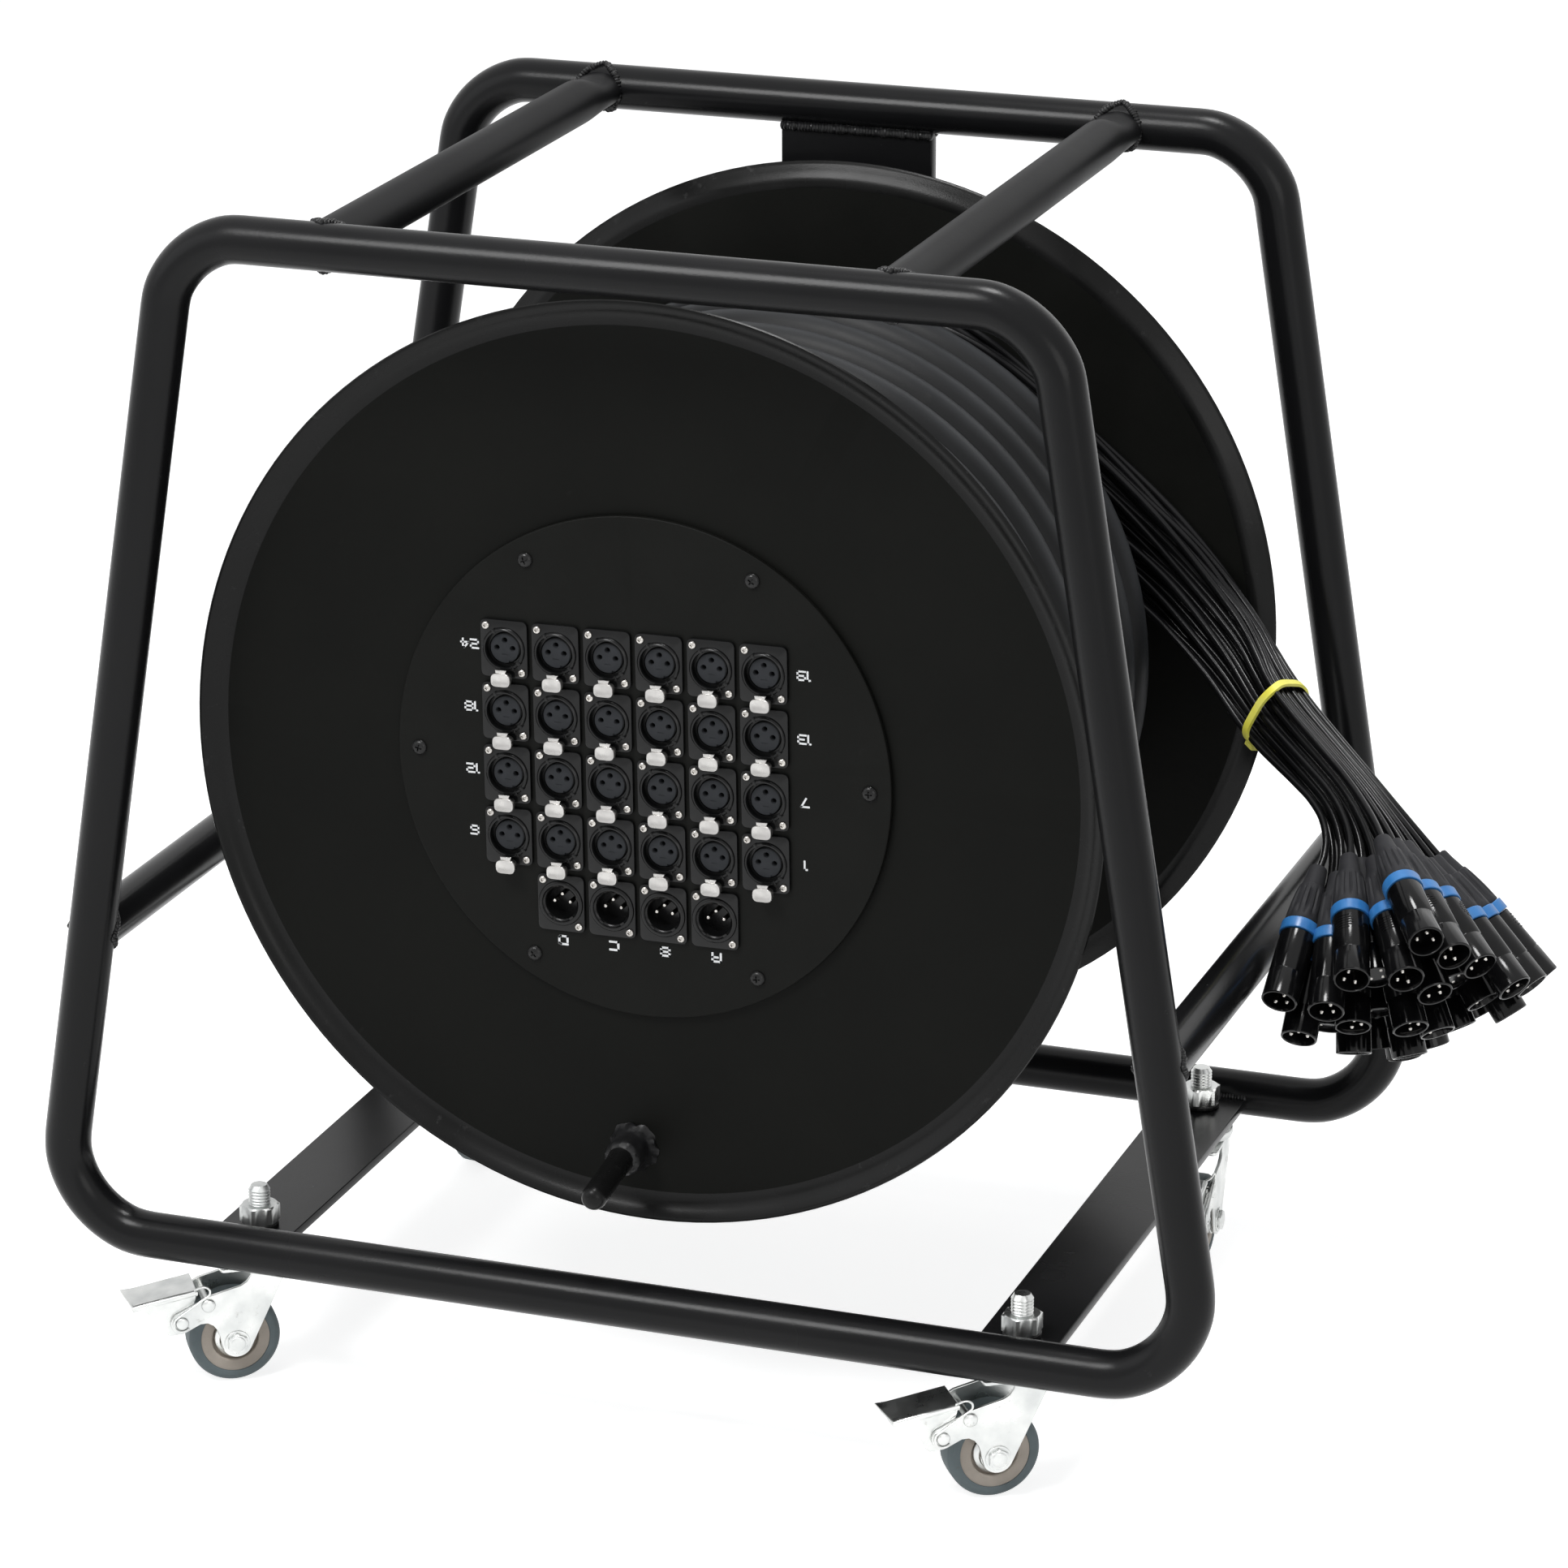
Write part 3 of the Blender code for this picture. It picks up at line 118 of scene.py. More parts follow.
ALONG_Y = Matrix.Rotation(math.radians(-90), 4, "X")
ON_DRUM_AXIS = Matrix.Translation((0, 0, AXIS_Z)) @ ALONG_Y
FIRST_TURN_Y = FRONT_INNER_Y + CABLE_R + 0.6 * MM


# Camera, backdrop and lamps.

def place_camera():
    """Stands where the photograph was taken from."""
    azimuth = math.radians(20.13)
    elevation = math.radians(18)
    back = Vector((
        math.sin(azimuth) * math.cos(elevation),
        -math.cos(azimuth) * math.cos(elevation),
        math.sin(elevation),
    ))
    right = Vector((math.cos(azimuth), math.sin(azimuth), 0))
    up = back.cross(right)
    turn = Matrix((right, up, back)).transposed().to_4x4() @ Matrix.Rotation(math.radians(-0.2), 4, "Z")
    lens = bpy.data.cameras.new("photo_view")
    lens.lens = 140.9
    lens.sensor_width = 36
    lens.shift_x = 0.0282
    lens.shift_y = -0.0701
    lens.clip_end = 60
    camera = bpy.data.objects.new("photo_view", lens)
    camera.matrix_world = Matrix.Translation(Vector((0, 0, 0.3695)) + back * 3.297) @ turn
    bpy.context.collection.objects.link(camera)
    bpy.context.scene.camera = camera


def add_node(tree, kind, inputs=None, **settings):
    """A node with its settings. Each input is a value, or another node's output to link."""
    node = tree.nodes.new(kind)
    for name, value in settings.items():
        setattr(node, name, value)
    for name, value in (inputs or {}).items():
        if isinstance(value, bpy.types.NodeSocket):
            tree.links.new(value, node.inputs[name])
        else:
            node.inputs[name].default_value = value
    return node


def math_node(tree, operation, *values):
    return add_node(tree, "ShaderNodeMath", dict(enumerate(values)), operation=operation).outputs[0]


def noise(tree, place, scale, detail, roughness=0.5):
    return add_node(tree, "ShaderNodeTexNoise", {
        "Vector": place, "Scale": scale, "Detail": detail, "Roughness": roughness,
    }).outputs["Fac"]


def spread(tree, value, low, high, new_low, new_high, **settings):
    return add_node(tree, "ShaderNodeMapRange", {
        "Value": value, "From Min": low, "From Max": high, "To Min": new_low, "To Max": new_high,
    }, **settings).outputs["Result"]


def blend(tree, factor, first, second, mode="MIX"):
    """Two colours mixed."""
    return add_node(tree, "ShaderNodeMix", {"Factor": factor, "A": first, "B": second},
                    data_type="RGBA", blend_type=mode).outputs["Result"]


def new_material(name):
    material = bpy.data.materials.new(name)
    material.use_nodes = True
    return material, material.node_tree, material.node_tree.nodes["Principled BSDF"]


def background_share(tree):
    """One for rays that show the background: seen directly, in gloss, or through something clear."""
    path = add_node(tree, "ShaderNodeLightPath").outputs
    seen = math_node(tree, "MAXIMUM", path["Is Camera Ray"], path["Is Glossy Ray"])
    return math_node(tree, "MAXIMUM", seen, path["Is Transmission Ray"])


def light_studio():
    """A pale room that shows white, and five soft lamps with their places, aims, sizes and watts."""
    bpy.context.scene.view_settings.view_transform = "Standard"
    world = bpy.data.worlds.new("studio")
    bpy.context.scene.world = world
    world.use_nodes = True
    tree = world.node_tree
    room = tree.nodes["Background"]
    room.inputs["Color"].default_value = (0.93, 0.96, 1.0, 1)
    room.inputs["Strength"].default_value = 0.3
    white = add_node(tree, "ShaderNodeBackground", {"Color": (1, 1, 1, 1), "Strength": 1.0})
    mix = add_node(tree, "ShaderNodeMixShader", {
        0: background_share(tree), 1: room.outputs[0], 2: white.outputs[0],
    })
    tree.links.new(mix.outputs[0], tree.nodes["World Output"].inputs["Surface"])
    for name, place, aim, size, power, colour in (
        ("front_box", (-0.55, -1.3, 1.95), (0, 0, 0.35), 0.8, 27, (1, 1, 1)),
        ("overhead_box", (0.1, -0.1, 2.7), (0, 0, 0.3), 0.6, 30, (1, 1, 1)),
        ("left_box", (-2.4, -1.7, 1.5), (0, 0, 0.35), 2.0, 7.5, (0.96, 0.98, 1)),
        ("right_box", (2.3, -2.3, 1.2), (0, 0, 0.35), 1.6, 12, (1, 0.99, 0.97)),
        ("rear_box", (0.9, 2.4, 1.9), (0, 0, 0.35), 2.4, 8, (1, 1, 1)),
    ):
        lamp = bpy.data.lights.new(name, "AREA")
        lamp.shape = "DISK"
        lamp.size = size
        lamp.energy = power
        lamp.color = colour
        obj = bpy.data.objects.new(name, lamp)
        obj.location = place
        obj.rotation_euler = (Vector(aim) - Vector(place)).to_track_quat("-Z", "Y").to_euler()
        bpy.context.collection.objects.link(obj)


def lay_floor():
    """A pale floor that shows white but keeps the drum's shadow."""
    material, tree, pale = new_material("pale_floor")
    pale.inputs["Roughness"].default_value = 0.9
    pale.inputs["Specular IOR Level"].default_value = 0.1
    place = add_node(tree, "ShaderNodeTexCoord").outputs["Object"]
    tint = blend(tree, noise(tree, place, 40, 2), (0.62, 0.62, 0.62, 1), (0.66, 0.66, 0.65, 1))
    tree.links.new(tint, pale.inputs["Base Color"])
    glow = add_node(tree, "ShaderNodeEmission", {
        "Color": (0.8, 0.8, 0.8, 1), "Strength": background_share(tree),
    })
    both = add_node(tree, "ShaderNodeAddShader", {0: pale.outputs[0], 1: glow.outputs[0]})
    tree.links.new(both.outputs[0], tree.nodes["Material Output"].inputs["Surface"])
    shape = bmesh.new()
    bmesh.ops.create_grid(shape, x_segments=8, y_segments=8, size=9)
    mesh = bpy.data.meshes.new("studio_floor")
    shape.to_mesh(mesh)
    shape.free()
    mesh.materials.append(material)
    mesh.transform(Matrix.Translation((0, 0, -0.2 * MM)))
    floor = bpy.data.objects.new("studio_floor", mesh)
    bpy.context.collection.objects.link(floor)


# Finishes.

FINISHES = {}


def finish(name, colour, other, rough, swing=0.1, metallic=0.0, patch=16, grain=1400, depth=0.05,
           coarse=None, marks=None, specular=0.5, flank_shade=None):
    """
    A finish with colour patches, uneven gloss and a fine surface.
    If asked, it has a coarse wave (scale, strength), marks of handling (colour, scale, threshold),
    and painted shade that darkens the colour where the surface faces along Y, down to flank_shade.
    """
    material, tree, shader = new_material(name)
    shader.inputs["Metallic"].default_value = metallic
    shader.inputs["Specular IOR Level"].default_value = specular
    place = add_node(tree, "ShaderNodeTexCoord").outputs["Object"]
    patches = noise(tree, place, patch, 4)
    base = blend(tree, spread(tree, patches, 0.36, 0.64, 0, 1), (*colour, 1), (*other, 1))
    gloss = spread(tree, patches, 0.3, 0.7, rough - swing, rough + swing)
    if marks:
        mark_colour, mark_scale, threshold = marks
        scuffs = noise(tree, place, mark_scale, 8, 0.7)
        share = spread(tree, scuffs, threshold, threshold + 0.09, 0, 0.55)
        base = blend(tree, share, base, (*mark_colour, 1))
        gloss = math_node(tree, "MULTIPLY_ADD", share, 0.3, gloss)
    if flank_shade:
        # Painted shade: darker where the normal points along Y, so the flanks between wound turns look
        # shaded against the crests.
        normal = add_node(tree, "ShaderNodeNewGeometry").outputs["Normal"]
        sideways = add_node(tree, "ShaderNodeSeparateXYZ", {0: normal}).outputs["Y"]
        painted_shade = spread(tree, math_node(tree, "ABSOLUTE", sideways), 0.02, 0.6, 1.0, flank_shade)
        base = blend(tree, 1.0, base, painted_shade, "MULTIPLY")
    tree.links.new(base, shader.inputs["Base Color"])
    tree.links.new(gloss, shader.inputs["Roughness"])
    surface = {"Height": noise(tree, place, grain, 2), "Strength": depth, "Distance": 0.3 * MM}
    if coarse:
        wave_scale, strength = coarse
        surface["Normal"] = add_node(tree, "ShaderNodeBump", {
            "Height": noise(tree, place, wave_scale, 3), "Strength": strength, "Distance": 0.6 * MM,
        }).outputs["Normal"]
    bump = add_node(tree, "ShaderNodeBump", surface)
    tree.links.new(bump.outputs["Normal"], shader.inputs["Normal"])
    FINISHES[name] = material


FRAME_MARKS = ((0.03, 0.03, 0.032), 60, 0.67)
finish("tube_powder_coat", (0.0058, 0.0059, 0.0063), (0.0078, 0.0078, 0.0083), 0.25, 0.04, patch=9,
       grain=900, depth=0.14, coarse=(160, 0.05), marks=FRAME_MARKS, specular=0.15)
finish("crossbar_coat", (0.006, 0.0061, 0.0066), (0.0082, 0.0082, 0.0087), 0.42, 0.05, patch=9,
       grain=900, depth=0.14, coarse=(160, 0.05), marks=FRAME_MARKS, specular=0.05)
finish("drum_paint", (0.0045, 0.0047, 0.0041), (0.006, 0.0062, 0.0054), 0.5, 0.05, patch=14,
       grain=1500, depth=0.18, marks=((0.017, 0.017, 0.016), 45, 0.67), specular=0.07)
finish("rim_paint", (0.0045, 0.0046, 0.0044), (0.0065, 0.0065, 0.0065), 0.26, 0.05, patch=30,
       grain=1200, depth=0.12, marks=((0.04, 0.04, 0.04), 90, 0.62), specular=0.15)
finish("panel_paint", (0.0058, 0.006, 0.0053), (0.0074, 0.0076, 0.0068), 0.46, 0.05, patch=20,
       grain=1900, depth=0.24, marks=((0.02, 0.02, 0.02), 70, 0.68), specular=0.08)
finish("weld_paint", (0.0075, 0.0075, 0.008), (0.012, 0.012, 0.0125), 0.38, patch=120, grain=700,
       depth=0.4, specular=0.28)
finish("socket_gloss", (0.0035, 0.0036, 0.0038), (0.0055, 0.0056, 0.0058), 0.22, 0.07, patch=60,
       grain=2200, depth=0.06, specular=0.26, marks=((0.02, 0.02, 0.02), 220, 0.68))
finish("socket_insert", (0.027, 0.029, 0.032), (0.034, 0.036, 0.040), 0.6, 0.08, patch=180,
       grain=2600, depth=0.3, specular=0.14)
finish("tab_metal", (0.5, 0.49, 0.475), (0.42, 0.41, 0.4), 0.3, metallic=1.0, patch=140,
       grain=2600, depth=0.12, marks=((0.5, 0.5, 0.48), 300, 0.64))
finish("bright_screw", (0.56, 0.54, 0.51), (0.42, 0.4, 0.38), 0.2, 0.08, metallic=1.0, patch=260,
       grain=2400, depth=0.08)
finish("black_screw", (0.007, 0.007, 0.007), (0.014, 0.014, 0.014), 0.27, 0.09, metallic=0.2,
       patch=260, grain=2200, depth=0.14, specular=0.3)
finish("channel_white", (0.86, 0.87, 0.88), (0.78, 0.79, 0.8), 0.5, 0.06, patch=300, grain=2600,
       depth=0.1)
# The cable rubber gets painted shade on surfaces facing along the drum's axis, down to 0.2 of its colour.
finish("cable_rubber", (0.023, 0.0243, 0.0262), (0.033, 0.0347, 0.0374), 0.5, 0.08, patch=13,
       grain=1100, depth=0.24, coarse=(90, 0.1), marks=((0.07, 0.07, 0.068), 48, 0.64),
       specular=0.18, flank_shade=0.2)
finish("sleeve_rubber", (0.012, 0.012, 0.0125), (0.02, 0.02, 0.021), 0.46, patch=40, grain=900,
       depth=0.2, coarse=(120, 0.25), specular=0.4)
finish("tail_jacket", (0.0045, 0.0045, 0.005), (0.008, 0.008, 0.0085), 0.22, 0.06, patch=34,
       grain=1500, depth=0.1, coarse=(240, 0.1), marks=((0.04, 0.04, 0.042), 180, 0.68), specular=0.2)
finish("boot_rubber", (0.028, 0.028, 0.031), (0.038, 0.038, 0.041), 0.55, patch=110, grain=2300,
       depth=0.3, specular=0.14)
finish("plug_shell", (0.003, 0.003, 0.0034), (0.006, 0.006, 0.0064), 0.13, 0.05, patch=70,
       grain=1800, depth=0.07, marks=((0.04, 0.04, 0.04), 260, 0.69), specular=0.24)
finish("ring_blue", (0.03, 0.18, 0.48), (0.045, 0.22, 0.55), 0.36, 0.08, patch=120, grain=2000,
       depth=0.08)
finish("ring_red", (0.28, 0.012, 0.022), (0.36, 0.02, 0.03), 0.36, 0.08, patch=120, grain=2000,
       depth=0.08)
finish("tie_nylon", (0.95, 0.89, 0.1), (0.97, 0.93, 0.2), 0.42, 0.08, patch=120, grain=1600,
       depth=0.15)
finish("zinc_plate", (0.72, 0.73, 0.715), (0.58, 0.595, 0.59), 0.32, 0.12, metallic=1.0, patch=55,
       grain=1200, depth=0.16, coarse=(200, 0.06), marks=((0.28, 0.27, 0.25), 120, 0.62))
finish("tyre_rubber", (0.125, 0.155, 0.165), (0.16, 0.195, 0.205), 0.6, patch=70, depth=0.3,
       coarse=(220, 0.12), marks=((0.16, 0.16, 0.155), 130, 0.6), specular=0.3)
finish("core_plastic", (0.46, 0.405, 0.35), (0.40, 0.35, 0.30), 0.56, 0.08, patch=80, grain=1800,
       depth=0.18, marks=((0.12, 0.1, 0.09), 150, 0.63))
finish("axle_steel", (0.42, 0.42, 0.43), (0.33, 0.33, 0.33), 0.34, metallic=1.0, patch=80,
       grain=1300, depth=0.15, marks=((0.2, 0.19, 0.17), 130, 0.62))


# Shapes.

def mm(points, lift=0.0):
    """Points given in millimetres, the second number counted from a height in metres."""
    return [(first * MM, lift + second * MM) for first, second in points]


def plain_section(outer, low, high, inner=0):
    """Half section of a plain cylinder or ring, for turning."""
    return [(inner, low), (outer, low), (outer, high), (inner, high)]


def around(radius, degrees, height=0.0):
    """Moves out from local Z in a direction."""
    angle = math.radians(degrees)
    return Matrix.Translation((radius * math.cos(angle), radius * math.sin(angle), height))


def link_piece(name, mesh):
    obj = bpy.data.objects.new(name, mesh)
    bpy.context.collection.objects.link(obj)
    return obj


def shade(mesh, sharp=38):
    """Round faces look smooth, hard edges stay, and flat ends with many corners stay flat."""
    mesh.shade_smooth()
    mesh.set_sharp_from_angle(angle=math.radians(sharp))
    for face in mesh.polygons:
        if len(face.vertices) > 4:
            face.use_smooth = False


def mesh_from(name, shape, materials, sharp=38):
    """Turns a bmesh into a mesh with its faces outwards and its hard edges kept."""
    bmesh.ops.recalc_face_normals(shape, faces=shape.faces)
    mesh = bpy.data.meshes.new(name)
    shape.to_mesh(mesh)
    shape.free()
    for material in materials:
        mesh.materials.append(FINISHES[material])
    shade(mesh, sharp)
    return mesh


def piece_from(name, shape, materials, sharp=38):
    return link_piece(name, mesh_from(name, shape, materials, sharp))


def add_skin(shape, rings, material=0, closed=False):
    """Joins rings of points into one skin. It is capped at both ends, or closed on itself."""
    loops = [[shape.verts.new(point) for point in ring] for ring in rings]
    count = len(loops[0])
    pairs = list(zip(loops, loops[1:]))
    if closed:
        pairs.append((loops[-1], loops[0]))
    faces = []
    for first, second in pairs:
        for i in range(count):
            j = (i + 1) % count
            faces.append(shape.faces.new((first[i], first[j], second[j], second[i])))
    if not closed:
        faces.append(shape.faces.new(loops[0][::-1]))
        faces.append(shape.faces.new(loops[-1]))
    for face in faces:
        face.material_index = material


def circle(radius, count):
    return [
        (radius * math.cos(2 * math.pi * i / count), radius * math.sin(2 * math.pi * i / count))
        for i in range(count)
    ]


def add_turned(shape, profile, steps, place=Matrix.Identity(4), material=0, ripple=None):
    """Turns a closed outline of (radius, height) about local Z. A point at radius 0 becomes a pole."""
    poles = {
        j: shape.verts.new(place @ Vector((0, 0, height)))
        for j, (radius, height) in enumerate(profile) if radius == 0
    }
    columns = []
    for i in range(steps):
        angle = 2 * math.pi * i / steps
        across = Vector((math.cos(angle), math.sin(angle), 0))
        column = []
        for j, (radius, height) in enumerate(profile):
            if j in poles:
                column.append(poles[j])
                continue
            grown = radius + (ripple(angle, height) if ripple else 0)
            column.append(shape.verts.new(place @ (across * grown + Vector((0, 0, height)))))
        columns.append(column)
    for i in range(steps):
        near, far = columns[i], columns[(i + 1) % steps]
        for j in range(len(profile)):
            k = (j + 1) % len(profile)
            corners = list(dict.fromkeys((near[j], near[k], far[k], far[j])))
            if len(corners) > 2:
                shape.faces.new(corners).material_index = material


def rounded(profile, radius, steps=4):
    """A closed outline with every corner rounded by up to a radius."""
    out = []
    count = len(profile)
    for i, corner in enumerate(profile):
        here = Vector(corner)
        before = Vector(profile[i - 1]) - here
        after = Vector(profile[(i + 1) % count]) - here
        on_axis = corner[0] == 0 and (profile[i - 1][0] == 0 or profile[(i + 1) % count][0] == 0)
        reach = min(radius, before.length * 0.45, after.length * 0.45)
        if on_axis or reach < 1e-6 or abs(before.normalized().dot(after.normalized())) > 0.999:
            out.append(tuple(corner))
            continue
        start = here + before.normalized() * reach
        end = here + after.normalized() * reach
        for step in range(steps + 1):
            share = step / steps
            point = start.lerp(here, share).lerp(here.lerp(end, share), share)
            out.append((point.x, point.y))
    return out


def box_outline(width, height, centre=(0, 0), corner=0.0, steps=5):
    w, h = width / 2, height / 2
    x, z = centre
    outline = [(x - w, z - h), (x + w, z - h), (x + w, z + h), (x - w, z + h)]
    return rounded(outline, corner, steps) if corner else outline


def shrunk(outline, amount):
    """An outline moved inwards by an amount."""
    count = len(outline)
    area = sum(
        outline[i - 1][0] * outline[i][1] - outline[i][0] * outline[i - 1][1] for i in range(count)
    )
    sign = 1 if area > 0 else -1
    out = []
    for i in range(count):
        here = Vector(outline[i])
        before = here - Vector(outline[i - 1])
        after = Vector(outline[(i + 1) % count]) - here
        before = before.normalized() if before.length > 1e-9 else after.normalized()
        after = after.normalized() if after.length > 1e-9 else before
        inward = Vector((-(before + after).y, (before + after).x)).normalized() * sign
        out.append(tuple(here + inward * amount / max(0.5, math.cos(before.angle(after, 0) / 2))))
    return out


def ring_at(place, outline, height=0.0):
    return [place @ Vector((x, y, height)) for x, y in outline]


def stacked(place, outline, levels):
    """An outline in local XY repeated at each (height, inset) along local Z."""
    return [
        ring_at(place, shrunk(outline, inset) if inset else outline, height)
        for height, inset in levels
    ]


def add_slab(shape, outline, place, depth, edge=0.0):
    """A flat outline in local XY made depth thick along local Z, with its edges eased."""
    levels = [(0, 0), (depth, 0)]
    if edge:
        levels = [(0, edge), (edge * 0.3, edge * 0.3), (edge, 0),
                  (depth - edge, 0), (depth - edge * 0.3, edge * 0.3), (depth, edge)]
    add_skin(shape, stacked(place, outline, levels))


def facing_front(x, y, z):
    """Local XY is the object's XZ and local Z points to the front, from a place on the object."""
    return Matrix(((1, 0, 0, x), (0, 0, -1, y), (0, 1, 0, z), (0, 0, 0, 1)))


def cut_from(body, filler):
    """Takes closed shapes out of a finished mesh object for good."""
    shape = bmesh.new()
    filler(shape)
    bmesh.ops.recalc_face_normals(shape, faces=shape.faces)
    mesh = bpy.data.meshes.new("cutter")
    shape.to_mesh(mesh)
    shape.free()
    cutter = link_piece("cutter", mesh)
    cut = body.modifiers.new("cut", "BOOLEAN")
    cut.operation = "DIFFERENCE"
    cut.solver = "EXACT"
    cut.object = cutter
    bpy.context.view_layer.update()
    graph = bpy.context.evaluated_depsgraph_get()
    result = bpy.data.meshes.new_from_object(body.evaluated_get(graph))
    body.modifiers.remove(cut)
    old = body.data
    body.data = result
    result.name = old.name
    bpy.data.meshes.remove(old)
    drop_piece(cutter)
    shade(result)


def smooth_through(points, steps):
    """Points on one smooth curve through all of the given ones."""
    padded = [points[0] * 2 - points[1]] + list(points) + [points[-1] * 2 - points[-2]]
    out = []
    for i in range(1, len(padded) - 2):
        a, b, c, d = padded[i - 1:i + 3]
        for step in range(steps):
            t = step / steps
            out.append(0.5 * (2 * b + (c - a) * t + (2 * a - 5 * b + 4 * c - d) * t ** 2
                              + (3 * b - a - 3 * c + d) * t ** 3))
    out.append(points[-1].copy())
    return out


def path_length(points):
    return sum((b - a).length for a, b in zip(points, points[1:]))


def even_points(points, count):
    """The same path as evenly spaced points."""
    total = path_length(points)
    out = [points[0].copy()]
    walked = 0.0
    target = total / (count - 1)
    for a, b in zip(points, points[1:]):
        step = (b - a).length
        while walked + step >= target * len(out) - 1e-9 and len(out) < count - 1:
            out.append(a.lerp(b, (target * len(out) - walked) / step))
        walked += step
    out.append(points[-1].copy())
    return out


def frames_along(points):
    """A (side, other) pair at each point, carried along without twist."""
    side = (points[1] - points[0]).orthogonal().normalized()
    out = []
    for i, point in enumerate(points):
        along = (points[min(i + 1, len(points) - 1)] - points[max(i - 1, 0)]).normalized()
        side = (side - along * side.dot(along)).normalized()
        out.append((side.copy(), along.cross(side)))
    return out


def add_hose(shape, points, radii, sides):
    """A round skin along points with a radius at each."""
    rings = []
    for point, radius, (side, other) in zip(points, radii, frames_along(points)):
        rings.append([point + side * x + other * y for x, y in circle(radius, sides)])
    add_skin(shape, rings)


def bend_points(before, corner, after, radius, steps=18):
    """Points round a corner of a path, on an arc that touches both sides."""
    to_before = (before - corner).normalized()
    to_after = (after - corner).normalized()
    half = to_before.angle(to_after) / 2
    centre = corner + (to_before + to_after).normalized() * (radius / math.sin(half))
    first = corner + to_before * (radius / math.tan(half)) - centre
    last = corner + to_after * (radius / math.tan(half)) - centre
    normal = first.cross(last).normalized()
    sweep = math.pi - 2 * half
    return [centre + Matrix.Rotation(sweep * i / steps, 3, normal) @ first for i in range(steps + 1)]


# Trees of geometry nodes: what follows a path, a grid, a circle or a formula.

class Tree:
    """A node tree under construction, with named inputs."""

    def __init__(self, name):
        self.group = bpy.data.node_groups.new(name, "GeometryNodeTree")
        self.group.is_modifier = True
        self.sockets = {}
        self.entry = self.group.nodes.new("NodeGroupInput")
        self.take("Start", "NodeSocketGeometry")

    def take(self, name, kind, value=None):
        item = self.group.interface.new_socket(name=name, in_out="INPUT", socket_type=kind)
        if value is not None:
            item.default_value = value
        self.sockets[name] = item.identifier
        return self.entry.outputs[name]

    def real(self, name, value):
        return self.take(name, "NodeSocketFloat", value)

    def whole(self, name, value):
        return self.take(name, "NodeSocketInt", value)

    def add(self, kind, inputs=None, **settings):
        return add_node(self.group, kind, inputs, **settings)

    def math(self, operation, *values):
        return math_node(self.group, operation, *values)

    def tube(self, line, radius, sides):
        """A round skin along a line of edges."""
        path = self.add("GeometryNodeMeshToCurve", {"Mesh": line})
        section = self.add("GeometryNodeCurvePrimitiveCircle", {"Resolution": sides, "Radius": radius})
        return self.add("GeometryNodeCurveToMesh", {
            "Curve": path.outputs[0], "Profile Curve": section.outputs[0], "Fill Caps": True,
        }).outputs[0]

    def panel_copies(self, points, middle=(0.0, 0.0, 0.0), spin=None):
        """Copies of one small piece at points stood up to face the front, turned with the panel."""
        upright = self.add("GeometryNodeTransform", {
            "Geometry": points, "Translation": middle, "Rotation": (math.pi / 2, 0.0, 0.0),
        })
        made = self.add("GeometryNodeObjectInfo", {
            "Object": self.take("Small piece", "NodeSocketObject"),
        })
        inputs = {"Points": upright.outputs[0], "Instance": made.outputs["Geometry"]}
        if spin:
            inputs["Rotation"] = spin
        copies = self.add("GeometryNodeInstanceOnPoints", inputs)
        turn = self.math("MULTIPLY", self.real("Turn", PANEL_TURN), -1.0)
        return self.add("GeometryNodeTransform", {
            "Geometry": copies.outputs[0], "Translation": (0.0, 0.0, AXIS_Z),
            "Rotation": self.add("ShaderNodeCombineXYZ", {"Y": turn}).outputs[0],
        }).outputs[0]

    def close(self, geometry, material):
        """Makes the result real, smooth and painted, as every tree here ends."""
        self.group.interface.new_socket(name="Piece", in_out="OUTPUT", socket_type="NodeSocketGeometry")
        real = self.add("GeometryNodeRealizeInstances", {"Geometry": geometry})
        smooth = self.add("GeometryNodeSetShadeSmooth", {"Geometry": real.outputs[0], "Shade Smooth": True})
        painted = self.add("GeometryNodeSetMaterial", {
            "Geometry": smooth.outputs[0], "Material": FINISHES[material],
        })
        leave = self.group.nodes.new("NodeGroupOutput")
        self.group.links.new(painted.outputs[0], leave.inputs[0])
        return self


def tube_tree(material):
    """A round tube along a path. A radius kept on the path's points narrows or widens it."""
    tree = Tree(f"tube_{material}")
    radius = tree.real("Tube radius", TUBE_R)
    sides = tree.whole("Sides", 28)
    return tree.close(tree.tube(tree.entry.outputs["Start"], radius, sides), material)


